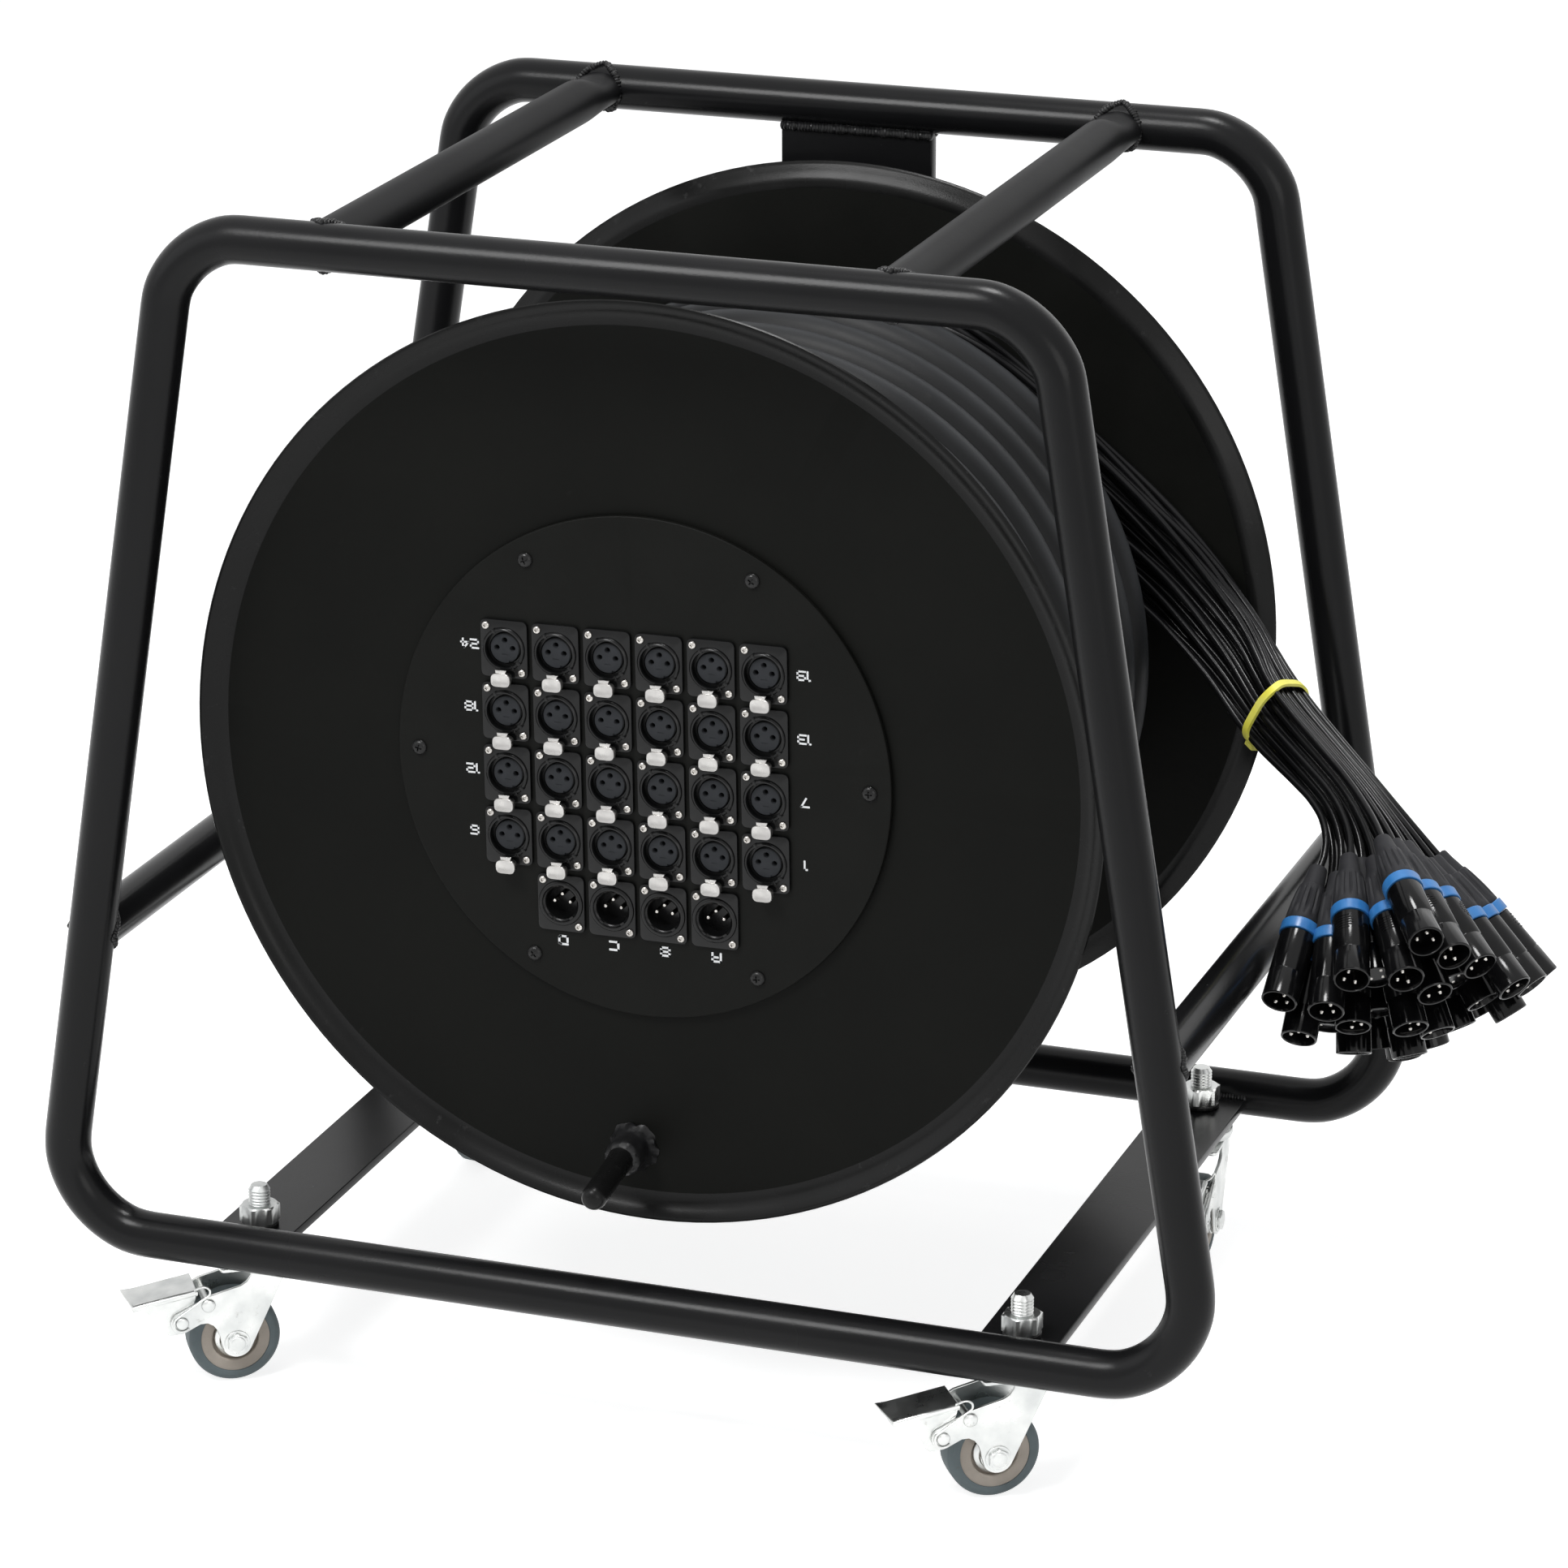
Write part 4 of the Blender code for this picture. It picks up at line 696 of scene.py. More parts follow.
def winding_tree(material):
    """The outer layer of cable: a coil by formula whose first stretch climbs from the layer below."""
    tree = Tree("cable_winding")
    turns = tree.real("Turns", TURNS)
    pitch = tree.real("Turn pitch", TURN_PITCH)
    coil = tree.real("Coil radius", WINDING_R)
    first_y = tree.real("First turn", 0.0)
    end_angle = tree.real("End angle", WINDING_END_TURN)
    climb = tree.real("Climb", 24 * MM)
    climb_share = tree.real("Climb share", 0.03)
    cable = tree.real("Cable radius", CABLE_R)
    steps = tree.whole("Steps", 96)
    sides = tree.whole("Sides", 26)
    count = tree.math("MULTIPLY", turns, steps)
    line = tree.add("GeometryNodeMeshLine", {"Count": count})
    index = tree.add("GeometryNodeInputIndex").outputs[0]
    share = tree.math("DIVIDE", index, count)
    left = tree.math("MULTIPLY", tree.math("SUBTRACT", 1.0, share), turns)
    angle = tree.math("MULTIPLY_ADD", left, 2 * math.pi, end_angle)
    low = spread(tree.group, share, 0.0, climb_share, 1.0, 0.0, interpolation_type="SMOOTHSTEP")
    sway = tree.math("MULTIPLY", tree.math("SINE", tree.math("MULTIPLY", index, 0.37)), 0.18 * MM)
    radius = tree.math("ADD", tree.math("SUBTRACT", coil, tree.math("MULTIPLY", low, climb)), sway)
    place = tree.add("ShaderNodeCombineXYZ", {
        "X": tree.math("MULTIPLY", radius, tree.math("COSINE", angle)),
        "Y": tree.math("MULTIPLY_ADD", tree.math("MULTIPLY", share, turns), pitch, first_y),
        "Z": tree.math("MULTIPLY_ADD", radius, tree.math("SINE", angle), AXIS_Z),
    })
    coiled = tree.add("GeometryNodeSetPosition", {
        "Geometry": line.outputs[0], "Position": place.outputs[0],
    })
    return tree.close(tree.tube(coiled.outputs[0], cable, sides), material)


def grid_tree(material):
    """Copies of one small piece on the panel's grid, all turned with the panel."""
    tree = Tree(f"grid_{material}")
    columns = tree.whole("Columns", 6)
    rows = tree.whole("Rows", 4)
    wide = tree.real("Column pitch", COLUMN_PITCH)
    high = tree.real("Row pitch", ROW_PITCH)
    middle = tree.take("Middle", "NodeSocketVector", (0.0, 0.0, 0.0))
    grid = tree.add("GeometryNodeMeshGrid", {
        "Size X": tree.math("MULTIPLY", wide, tree.math("SUBTRACT", columns, 1.0)),
        "Size Y": tree.math("MULTIPLY", high, tree.math("SUBTRACT", rows, 1.0)),
        "Vertices X": columns, "Vertices Y": rows,
    })
    return tree.close(tree.panel_copies(grid.outputs[0], middle), material)


def ring_tree(material):
    """Copies of one small piece round a circle that faces the front, each turned differently."""
    tree = Tree(f"ring_{material}")
    count = tree.whole("Count", 6)
    radius = tree.real("Circle radius", 0.1)
    ring = tree.add("GeometryNodeMeshCircle", {"Vertices": count, "Radius": radius})
    index = tree.add("GeometryNodeInputIndex").outputs[0]
    spin = tree.add("ShaderNodeCombineXYZ", {"Y": tree.math("MULTIPLY", index, 0.61)})
    return tree.close(tree.panel_copies(ring.outputs[0], spin=spin.outputs[0]), material)


def weld_tree(material):
    """A weld bead: small overlapping drops along a path, each a little different."""
    tree = Tree("weld_bead")
    step = tree.real("Step", 1.7 * MM)
    drop = tree.real("Drop radius", 2.2 * MM)
    seed = tree.whole("Seed", 3)
    path = tree.add("GeometryNodeMeshToCurve", {"Mesh": tree.entry.outputs["Start"]})
    points = tree.add("GeometryNodeCurveToPoints", {
        "Curve": path.outputs[0], "Length": step,
    }, mode="LENGTH")
    ball = tree.add("GeometryNodeMeshUVSphere", {"Segments": 10, "Rings": 6, "Radius": drop})
    size = tree.add("FunctionNodeRandomValue", {
        "Min": (0.8, 0.8, 0.5), "Max": (1.15, 1.15, 0.75), "Seed": seed,
    }, data_type="FLOAT_VECTOR")
    copies = tree.add("GeometryNodeInstanceOnPoints", {
        "Points": points.outputs[0], "Instance": ball.outputs[0],
        "Rotation": points.outputs["Rotation"], "Scale": size.outputs[0],
    })
    return tree.close(copies.outputs[0], material)


def path_mesh(points, closed=False, radii=None):
    mesh = bpy.data.meshes.new("path")
    edges = [(i, i + 1) for i in range(len(points) - 1)]
    if closed:
        edges.append((len(points) - 1, 0))
    mesh.from_pydata([tuple(point) for point in points], edges, [])
    if radii:
        kept = mesh.attributes.new("radius", "FLOAT", "POINT")
        kept.data.foreach_set("value", radii)
    return mesh


def grow(name, tree, values=None, start=None, sharp=38):
    """Runs a tree once and keeps what it makes as a plain mesh piece."""
    carrier = link_piece(f"{name}_start", start or bpy.data.meshes.new(name))
    modifier = carrier.modifiers.new("tree", "NODES")
    modifier.node_group = tree.group
    for key, value in (values or {}).items():
        modifier[tree.sockets[key]] = value
    bpy.context.view_layer.update()
    graph = bpy.context.evaluated_depsgraph_get()
    mesh = bpy.data.meshes.new_from_object(carrier.evaluated_get(graph))
    carrier.modifiers.remove(modifier)
    bpy.data.objects.remove(carrier)
    mesh.name = name
    mesh.set_sharp_from_angle(angle=math.radians(sharp))
    return link_piece(name, mesh)


def settle(piece, body, nodes=()):
    """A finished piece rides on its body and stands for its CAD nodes."""
    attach(piece, body)
    if nodes:
        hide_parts(*nodes)
    return piece


def small_piece(name, filler, material, sharp=38):
    """A piece that is only copied by a tree."""
    shape = bmesh.new()
    filler(shape)
    return piece_from(name, shape, [material], sharp)


def drop_piece(piece):
    mesh = piece.data
    bpy.data.objects.remove(piece)
    bpy.data.meshes.remove(mesh)


# The cable's free end: multicore, sleeve, tie, tails and plugs.

def drum_point(angle, radius, y):
    return Vector((radius * math.cos(angle), y, AXIS_Z + radius * math.sin(angle)))


def ease(share):
    share = max(0.0, min(1.0, share))
    return share * share * (3 - 2 * share)


def station(centre, forward, row_hint, across, stack):
    """A place along the bundle: centre, row direction, stacking direction, and the two steps."""
    row_way = (row_hint - forward * row_hint.dot(forward)).normalized()
    return centre, row_way, forward.cross(row_way), across, stack


def bundle_stations():
    """Places from the sleeve, past the tie, to the waist where the tails spread."""
    back = Vector((0, 1, 0))
    stations = []
    for degrees, beyond, across, stack in ROUND_DRUM:
        angle = math.radians(degrees)
        along = Vector((math.sin(angle), 0, -math.cos(angle)))
        centre = drum_point(angle, TAIL_CIRCLE_R + beyond * MM, GAP_Y)
        stations.append(station(centre, along, back, across * MM, stack * MM))
    leave = drum_point(TAIL_LEAVE, TAIL_CIRCLE_R, GAP_Y)
    along = Vector((math.sin(TAIL_LEAVE), 0, -math.cos(TAIL_LEAVE)))
    stations.append(station(leave, along, back, TAIL_STEP, 14 * MM))
    for share, forwards, stack in ((0.35, 0.5, 12), (0.58, 3.5, 10.5), (0.8, 20, 9)):
        centre = leave.lerp(TIE_POINT, share)
        centre.y = GAP_Y - forwards * MM
        stations.append(station(centre, along, back, TAIL_STEP, stack * MM))
    onward = (WAIST_POINT - TIE_POINT).normalized()
    stations.append(station(TIE_POINT, onward, back, TAIL_STEP, 7.4 * MM))
    turned = (onward + FAN_WAY).normalized()
    row_hint = stations[-1][1] + FAN_ROW_WAY
    stations.append(station(WAIST_POINT, turned, row_hint, TAIL_STEP, TAIL_STEP))
    return stations


def slot_point(place, slot):
    centre, row_way, stack_way, across, stack = place
    return centre + row_way * (slot[0] * across) + stack_way * (slot[1] * stack)


def tail_slots():
    return [(first + i, row - 2) for row, (first, count) in enumerate(TAIL_ROWS) for i in range(count)]


def tail_route(number, slot, stations, rings_place):
    """A tail's smooth route into its plug, the plug's place on it, and the way the plug points."""
    points = []
    for i, place in enumerate(stations):
        point = slot_point(place, slot)
        loose = max(0.0, place[4] - 6 * MM) * 0.34
        point += place[2] * (loose * math.sin(number * 2.4 + i * 1.9))
        points.append(point)
    near = points[-1]
    ray = (slot_point(rings_place, slot) - near).normalized()
    start = RING_REACH - BOOT_LENGTH - RING_LENGTH / 2 + 3 * MM * (number * 3 % 4 - 1.5)
    boot = near + ray * start
    # The waist is loose: a tail that turns there cuts the corner.
    points[-1] = near.lerp(points[-2].lerp(boot, 0.5), 0.42)
    points += [near + ray * (start * 0.62), boot, boot + ray * 7 * MM]
    return smooth_through(points, 6), boot, ray


def cord_curve(name, points, radius, material, sides_each=3):
    """A cord as one open spline with a round section."""
    curve = bpy.data.curves.new(name, "CURVE")
    curve.dimensions = "3D"
    curve.resolution_u = 4
    curve.bevel_depth = radius
    curve.bevel_resolution = sides_each
    curve.use_fill_caps = True
    spline = curve.splines.new("BEZIER")
    spline.bezier_points.add(len(points) - 1)
    for knot, point in zip(spline.bezier_points, points):
        knot.co = point
        knot.handle_left_type = "AUTO"
        knot.handle_right_type = "AUTO"
    curve.materials.append(FINISHES[material])
    return link_piece(name, curve)


def make_plug(name, female):
    """A cable plug along local Z: fluted boot, coloured ring, and a shell with an open mouth."""
    shape = bmesh.new()
    length = PLUG_LENGTH - (12 * MM if female else 0)

    def flutes(angle, height):
        window = ease((height - 15 * MM) / (4 * MM)) * ease((35.5 * MM - height) / (3 * MM))
        return -0.85 * MM * window * max(0.0, math.cos(14 * angle)) ** 1.5

    boot = [(1.9, 2.5), (1.9, 0.3), (3.6, 0), (4.7, 0.7), (5.0, 2), (5.3, 6), (6.0, 11), (6.3, 13.5),
            (7.2, 14.2), (7.5, 16), (7.9, 18), (8.3, 21), (8.7, 24.5), (9.0, 28), (9.25, 32), (9.35, 35),
            (9.4, 37.4), (9.1, 38), (8.2, 38), (5, 38)]
    add_turned(shape, mm(boot), 56, ripple=flutes)
    ring_start = BOOT_LENGTH + 0.15 * MM
    ring = [(8.4, 0), (10.1, 0), (10.4, 0.4), (10.4, 6.2), (10.1, 6.6), (8.4, 6.6)]
    add_turned(shape, mm(ring, ring_start), 40, material=1)
    shell_start = ring_start + 6.75 * MM
    outer = 9.6 * MM
    shell = mm([(5, 0), (9.1, 0), (9.6, 0.6)], shell_start)
    groove = [(9.6, -17), (9.35, -16.6), (9.35, -16), (9.6, -15.6)]
    shell += mm(groove + [(9.6, -0.5), (9.2, 0), (8.5, 0)], length)
    mouth = [(8.3, -0.5), (8.3, -2), (0, -2)] if female else [(8.2, -0.6), (8.1, -12), (0, -12)]
    shell += mm(mouth, length) + [(0, shell_start)]
    add_turned(shape, shell, 40, material=2)
    low, high, radius = (-2.1, -1.75, 1.5) if female else (-12.5, -1.5, 1.15)
    pin = mm([(0, low), (radius, low), (radius, high - 0.7), (radius * 0.55, high), (0, high)], length)
    for degrees in (90, 180, 0):
        add_turned(shape, pin, 10, around(PIN_CIRCLE_R, degrees), 3)
    for i in range(6):
        reach = (3.1, 4.4, 4.9, 4.9, 4.4, 3.1)[i] * MM
        height = shell_start + (3.5 + 1.7 * i) * MM
        low, high = Vector((0, 0, height)), Vector((0, 0, height + 0.7 * MM))
        half = math.asin(min(0.9, reach / outer))
        rings = []
        for step in range(7):
            angle = -half + 2 * half * step / 6
            across = Vector((math.cos(angle), math.sin(angle), 0))
            near, far = across * (outer - 0.3 * MM), across * (outer + 0.28 * MM)
            rings.append([near + low, far + low, far + high, near + high])
        add_skin(shape, rings, 2)
    ring_colour = "ring_red" if female else "ring_blue"
    return mesh_from(name, shape, ["boot_rubber", ring_colour, "plug_shell", "bright_screw"], 32)


def place_plug(name, mesh, boot, ray, roll):
    side = ray.orthogonal().normalized()
    turn = Matrix((side, ray.cross(side), ray)).transposed().to_4x4()
    copy = mesh.copy()
    copy.name = name
    copy.transform(Matrix.Translation(boot) @ turn @ Matrix.Rotation(roll, 4, "Z"))
    return link_piece(name, copy)


def stub_route():
    """The multicore from its last turn into the space beside the rear flange, up to the sleeve."""
    last_y = FIRST_TURN_Y + TURN_PITCH * TURNS
    points = []
    for i in range(19):
        share = i / 18
        degrees = 217 - 71 * share
        along = max(0.0, (212 - degrees) / 62)
        radius = WINDING_R + (STUB_R - WINDING_R) * ease(along)
        y = last_y + (GAP_Y - last_y) * ease(along * 1.5)
        points.append(drum_point(math.radians(degrees), radius, y))
    return points


def make_sleeve():
    """The moulded break-out sleeve: a tapered collar on the cable and a flared mouth for the tails."""
    points = [drum_point(math.radians(152.5 - i * 0.75), STUB_R, GAP_Y) for i in range(47)]
    total = len(points) - 1
    radii = []
    for i in range(total + 1):
        share = i / total
        radius = SLEEVE_R - 3.1 * MM * (1 - ease(share / 0.22))
        radius += 0.35 * MM * math.sin(share * 60) * ease(share / 0.2) * ease((0.9 - share) / 0.1)
        radius -= 2.6 * MM * ease((share - 0.86) / 0.14)
        radii.append(radius)
    shape = bmesh.new()
    add_hose(shape, points, radii, 40)
    return piece_from("breakout_boot", shape, ["sleeve_rubber"])


def make_tie(place):
    """A nylon band pulled round the bundle, with its lock and its tucked tail."""
    centre, row_way, stack_way, across, stack = place
    along = (WAIST_POINT - TIE_POINT).normalized()
    half_row = 2.5 * across + TAIL_R + 1.9 * MM
    half_stack = 2 * stack + TAIL_R + 1.9 * MM
    rings = []
    count = 72
    for i in range(count):
        angle = 2 * math.pi * i / count
        x = math.copysign(abs(math.cos(angle)) ** 0.55, math.cos(angle))
        y = math.copysign(abs(math.sin(angle)) ** 0.55, math.sin(angle))
        sway = along * (1.1 * MM * math.sin(3 * angle + 0.6))
        inner = centre + row_way * (half_row * x) + stack_way * (half_stack * y) + sway
        outer = inner + (row_way * x + stack_way * y).normalized() * 1.5 * MM
        rings.append([
            inner - along * 2.5 * MM, outer - along * 2.1 * MM,
            outer + along * 2.1 * MM, inner + along * 2.5 * MM,
        ])
    shape = bmesh.new()
    add_skin(shape, rings, closed=True)
    lock = centre - stack_way * (half_stack + 1.8 * MM) - row_way * 4 * MM
    turn = Matrix((row_way, along, stack_way)).transposed().to_4x4()
    place_lock = Matrix.Translation(lock) @ turn @ Matrix.Translation((0, 0, -2.2 * MM))
    add_slab(shape, box_outline(8 * MM, 7 * MM, corner=1.2 * MM), place_lock, 4.2 * MM, 0.6 * MM)
    way = mm([(3, 0), (9, 0.6), (15, 1.6), (19, 3.6)])
    tip = [lock + row_way * out - stack_way * down for out, down in way]
    section = box_outline(3.8 * MM, 1.2 * MM)
    rings = [[point + along * a + stack_way * b for a, b in section] for point in smooth_through(tip, 5)]
    add_skin(shape, rings)
    return piece_from("yellow_tie", shape, ["tie_nylon"])


def make_cable_end():
    route = stub_route()
    stub = cord_curve("multicore_lead", route, CABLE_R - 0.2 * MM, "cable_rubber", 10)
    sleeve = make_sleeve()
    settle(stub, "frame", ("multicore_end",))
    settle(sleeve, "frame", ("breakout_sleeve",))
    path_length(smooth_through(route, 6))
    stations = bundle_stations()
    centre = WAIST_POINT + FAN_WAY * RING_REACH
    rings_place = station(centre, FAN_WAY, FAN_ROW_WAY, RING_PITCH, RING_PITCH * math.sqrt(0.75))
    tie = settle(make_tie(stations[-2]), "frame", ("tail_tie",))
    male = make_plug("line_plug", False)
    female = make_plug("return_plug", True)
    for number, slot in enumerate(tail_slots()):
        route, boot, ray = tail_route(number, slot, stations, rings_place)
        tail = cord_curve(f"tail_{number + 1}", even_points(route, 30), TAIL_R, "tail_jacket")
        settle(tail, "frame", ("tail_loom",))
        mesh = female if number in RETURN_TAILS else male
        plug = place_plug(f"plug_{number + 1}", mesh, boot, ray, number * 2.1)
        settle(plug, "frame")
    bpy.data.meshes.remove(male)
    bpy.data.meshes.remove(female)


# Frame: tubes, welds, base bars and the plate for the axle.

def frame_loop(y):
    corners = [
        Vector((BOTTOM_HALF_WIDTH, y, BOTTOM_RAIL_Z)),
        Vector((TOP_HALF_WIDTH, y, TOP_RAIL_Z)),
        Vector((-TOP_HALF_WIDTH, y, TOP_RAIL_Z)),
        Vector((-BOTTOM_HALF_WIDTH, y, BOTTOM_RAIL_Z)),
    ]
    points = []
    radii = []
    for i, corner in enumerate(corners):
        bend = bend_points(corners[i - 1], corner, corners[(i + 1) % 4], BEND_R, 24)
        middle = (bend[0] + bend[-1]) / 2
        outward = (corner - middle).normalized()
        for step, point in enumerate(bend):
            # The bender squeezes the inside of a bend and leaves a small swelling where it starts.
            squeeze = ease(step / 5) * ease((24 - step) / 5)
            swell = math.exp(-((step - 0.6) / 1.1) ** 2) + math.exp(-((step - 23.4) / 1.1) ** 2)
            points.append(point + outward * squeeze * 1.1 * MM)
            radii.append(1 - 0.085 * squeeze + 0.045 * swell)
        onward = bend_points(corner, corners[(i + 1) % 4], corners[(i + 2) % 4], BEND_R, 24)[0]
        for share in (0.025, 0.06, 0.5, 0.94, 0.975):
            points.append(bend[-1].lerp(onward, share))
            radii.append(1 + (0.012 if share in (0.025, 0.975) else 0))
    return points, radii


def leg_x(z):
    share = (z - BOTTOM_RAIL_Z) / (TOP_RAIL_Z - BOTTOM_RAIL_Z)
    return BOTTOM_HALF_WIDTH + (TOP_HALF_WIDTH - BOTTOM_HALF_WIDTH) * share


def saddle(x, z, end, across):
    """Where a tube along Y meets a tube that crosses its end. Across is the crossing tube's direction."""
    points = []
    for i in range(40):
        angle = 2 * math.pi * i / 40
        dx = TUBE_R * math.cos(angle)
        dz = TUBE_R * math.sin(angle)
        off = dx * -across.z + dz * across.x
        depth = math.sqrt(max(0.0, TUBE_R ** 2 - off ** 2))
        points.append(Vector((x + dx, end * (FRAME_HALF_DEPTH - depth), z + dz)))
    return points


def make_tubes():
    tubes = tube_tree("tube_powder_coat")
    weld = weld_tree("weld_paint")
    for word, y in (("front", -FRAME_HALF_DEPTH), ("rear", FRAME_HALF_DEPTH)):
        points, radii = frame_loop(y)
        loop = grow(f"{word}_loop", tubes, {"Sides": 36}, path_mesh(points, True, radii))
        settle(loop, "frame", (f"{word}_frame",))
    leg_way = Vector((TOP_HALF_WIDTH - BOTTOM_HALF_WIDTH, 0, TOP_RAIL_Z - BOTTOM_RAIL_Z)).normalized()
    for word, side in SIDES:
        for name, node, x, z, across in (
            ("top_bar", "top_crossbar", side * CROSSBAR_X, TOP_RAIL_Z, Vector((1, 0, 0))),
            ("side_bar", "side_tube", side * leg_x(SIDE_TUBE_Z), SIDE_TUBE_Z,
             Vector((leg_way.x * side, 0, leg_way.z))),
        ):
            reach = FRAME_HALF_DEPTH - 3 * MM
            if name == "top_bar":
                bar = pinched_bar(f"{name}_{word}", x, z, reach)
            else:
                ends = [Vector((x, -reach, z)), Vector((x, 0, z)), Vector((x, reach, z))]
                bar = grow(f"{name}_{word}", tubes, {"Sides": 36}, path_mesh(ends))
            settle(bar, "frame", (f"{node}_{word}",))
            for end_word, end in (("front", -1), ("rear", 1)):
                bead = grow(f"weld_{name}_{word}_{end_word}", weld, {"Seed": int(x * 100) + end + 40},
                            path_mesh(saddle(x, z, end, across), True))
                settle(bead, "frame")


def pinched_bar(name, x, z, reach):
    """A top bar whose rear end is squeezed flatter before it is welded on."""
    shape = bmesh.new()
    rings = []
    stops = [-reach, -reach + 20 * MM, 0, reach - 46 * MM]
    stops += [reach - (46 - 4 * i) * MM for i in range(1, 10)] + [reach]
    for y in stops:
        squeeze = ease((y - (reach - 44 * MM)) / (26 * MM))
        wide = TUBE_R * (1 + 0.14 * squeeze)
        high = TUBE_R * (1 - 0.24 * squeeze)
        dent = 1.5 * MM * math.exp(-((y - (reach - 24 * MM)) / (7 * MM)) ** 2)
        ring = []
        for i in range(36):
            angle = 2 * math.pi * i / 36
            top = max(0.0, math.sin(angle)) ** 3
            ring.append(Vector((x + wide * math.cos(angle), y, z + high * math.sin(angle) - dent * top)))
        rings.append(ring)
    add_skin(shape, rings)
    return piece_from(name, shape, ["crossbar_coat"])


def weld_line(name, weld, seed, drop, middle, width, steps):
    """A straight bead along X."""
    line = [middle + Vector(((i / steps - 0.5) * width, 0, 0)) for i in range(steps + 1)]
    bead = grow(name, weld, {"Seed": seed, "Drop radius": drop}, path_mesh(line))
    settle(bead, "frame")


def make_base_bars():
    weld = weld_tree("weld_paint")
    reach = FRAME_HALF_DEPTH - 4 * MM
    for word, side in SIDES:
        x = side * BAR_X
        place = Matrix.Translation((x, 0, BAR_TOP_Z - BAR_THICK))
        shape = bmesh.new()
        add_slab(shape, box_outline(BAR_WIDTH, 2 * reach, corner=1.2 * MM), place, BAR_THICK, 0.7 * MM)
        bar = piece_from(f"base_flat_{word}", shape, ["tube_powder_coat"])

        def bores(cutter, x=x):
            hole = plain_section(6.8 * MM, BAR_TOP_Z - 8 * MM, BAR_TOP_Z + 3 * MM)
            for y in (-STUD_Y, STUD_Y):
                add_turned(cutter, hole, 28, Matrix.Translation((x, y, 0)))

        cut_from(bar, bores)
        settle(bar, "frame", (f"base_bar_{word}",))
        for end_word, end in (("front", -1), ("rear", 1)):
            middle = Vector((x, end * (FRAME_HALF_DEPTH - TUBE_R + 0.4 * MM), BAR_TOP_Z + 0.2 * MM))
            weld_line(f"weld_base_{word}_{end_word}", weld, 11 + end, 1.9 * MM, middle,
                      BAR_WIDTH - 2 * MM, 16)


def make_axle_plate():
    """The flat upright behind the drum, its welds, and the axle's end, washer and nut."""
    weld = weld_tree("weld_paint")
    low = BOTTOM_RAIL_Z + TUBE_R - 3 * MM
    high = TOP_RAIL_Z - TUBE_R + 3 * MM
    plate_back = PLATE_FRONT_Y + PLATE_THICK
    shape = bmesh.new()
    outline = box_outline(PLATE_WIDTH, high - low, (0, (low + high) / 2), 1.5 * MM)
    add_slab(shape, outline, facing_front(0, plate_back, 0), PLATE_THICK, 0.9 * MM)
    plate = piece_from("axle_upright", shape, ["tube_powder_coat"])
    bore = plain_section(10.4 * MM, PLATE_FRONT_Y - 10 * MM, PLATE_FRONT_Y + 20 * MM)
    cut_from(plate, lambda cutter: add_turned(cutter, bore, 32, ON_DRUM_AXIS))
    settle(plate, "frame", ("axle_plate",))
    for word, z in (("top", TOP_RAIL_Z - TUBE_R - 0.2 * MM), ("bottom", BOTTOM_RAIL_Z + TUBE_R + 0.2 * MM)):
        for face, y in (("front", PLATE_FRONT_Y - 0.3 * MM), ("rear", plate_back + 0.3 * MM)):
            weld_line(f"weld_plate_{word}_{face}", weld, len(face), 2.7 * MM, Vector((0, y, z)),
                      PLATE_WIDTH - 2 * MM, 30)
    front = -88 * MM
    collar = REAR_INNER_Y + 3.5 * MM
    end = PLATE_FRONT_Y + 29.1 * MM
    thread = []
    y = plate_back + 2 * MM
    while y < end - 2.5 * MM:
        thread += [(9.0 * MM, y), (9.8 * MM, y + 0.75 * MM)]
        y += 1.5 * MM
    profile = mm([(0, 0), (11.2, 0), (12.2, 1)], front) + mm([(12.2, 0), (19, 0), (20, 1)], collar)
    profile += mm([(20, -0.3), (9.8, -0.3)], PLATE_FRONT_Y) + thread
    profile += mm([(9.0, -1.2), (8.2, 0), (0, 0)], end)
    shape = bmesh.new()
    add_turned(shape, profile, 36, ON_DRUM_AXIS)
    axle = piece_from("axle_shaft", shape, ["axle_steel"], 30)
    settle(axle, "frame", ("stub_axle",))
    shape = bmesh.new()
    washer = plate_back + 0.3 * MM
    ring = plain_section(19 * MM, washer, washer + 3 * MM, 10.4 * MM)
    add_turned(shape, rounded(ring, 0.5 * MM), 40, ON_DRUM_AXIS)
    add_hex_nut(shape, ON_DRUM_AXIS, washer + 3.05 * MM, 12.9 * MM, 17 * MM, 10.1 * MM)
    nut = piece_from("axle_nut_set", shape, ["axle_steel"], 30)
    settle(nut, "frame", ("axle_nut",))


def add_hex_nut(shape, place, low, height, corner_r, bore):
    """A hexagon nut whose corners are turned off at both ends."""
    steps = 48
    chamfer = corner_r * (1 - math.cos(math.pi / 6)) * 0.62
    high = low + height
    rings = []
    for level, inset in (
        (low, chamfer * 1.7), (low + chamfer * 0.8, 0), (high - chamfer * 0.8, 0), (high, chamfer * 1.7),
    ):
        outline = []
        for i in range(steps):
            angle = 2 * math.pi * i / steps
            flat = corner_r * math.cos(math.pi / 6)
            hexagon = flat / math.cos((angle + math.pi / 6) % (math.pi / 3) - math.pi / 6)
            radius = min(hexagon, corner_r - inset)
            outline.append((radius * math.cos(angle), radius * math.sin(angle)))
        rings.append(ring_at(place, outline, level))
    rings += [ring_at(place, circle(bore, steps), level) for level in (high, low)]
    add_skin(shape, rings, closed=True)


# Drum: flanges, panel, sockets, tabs, characters, handle and winding.

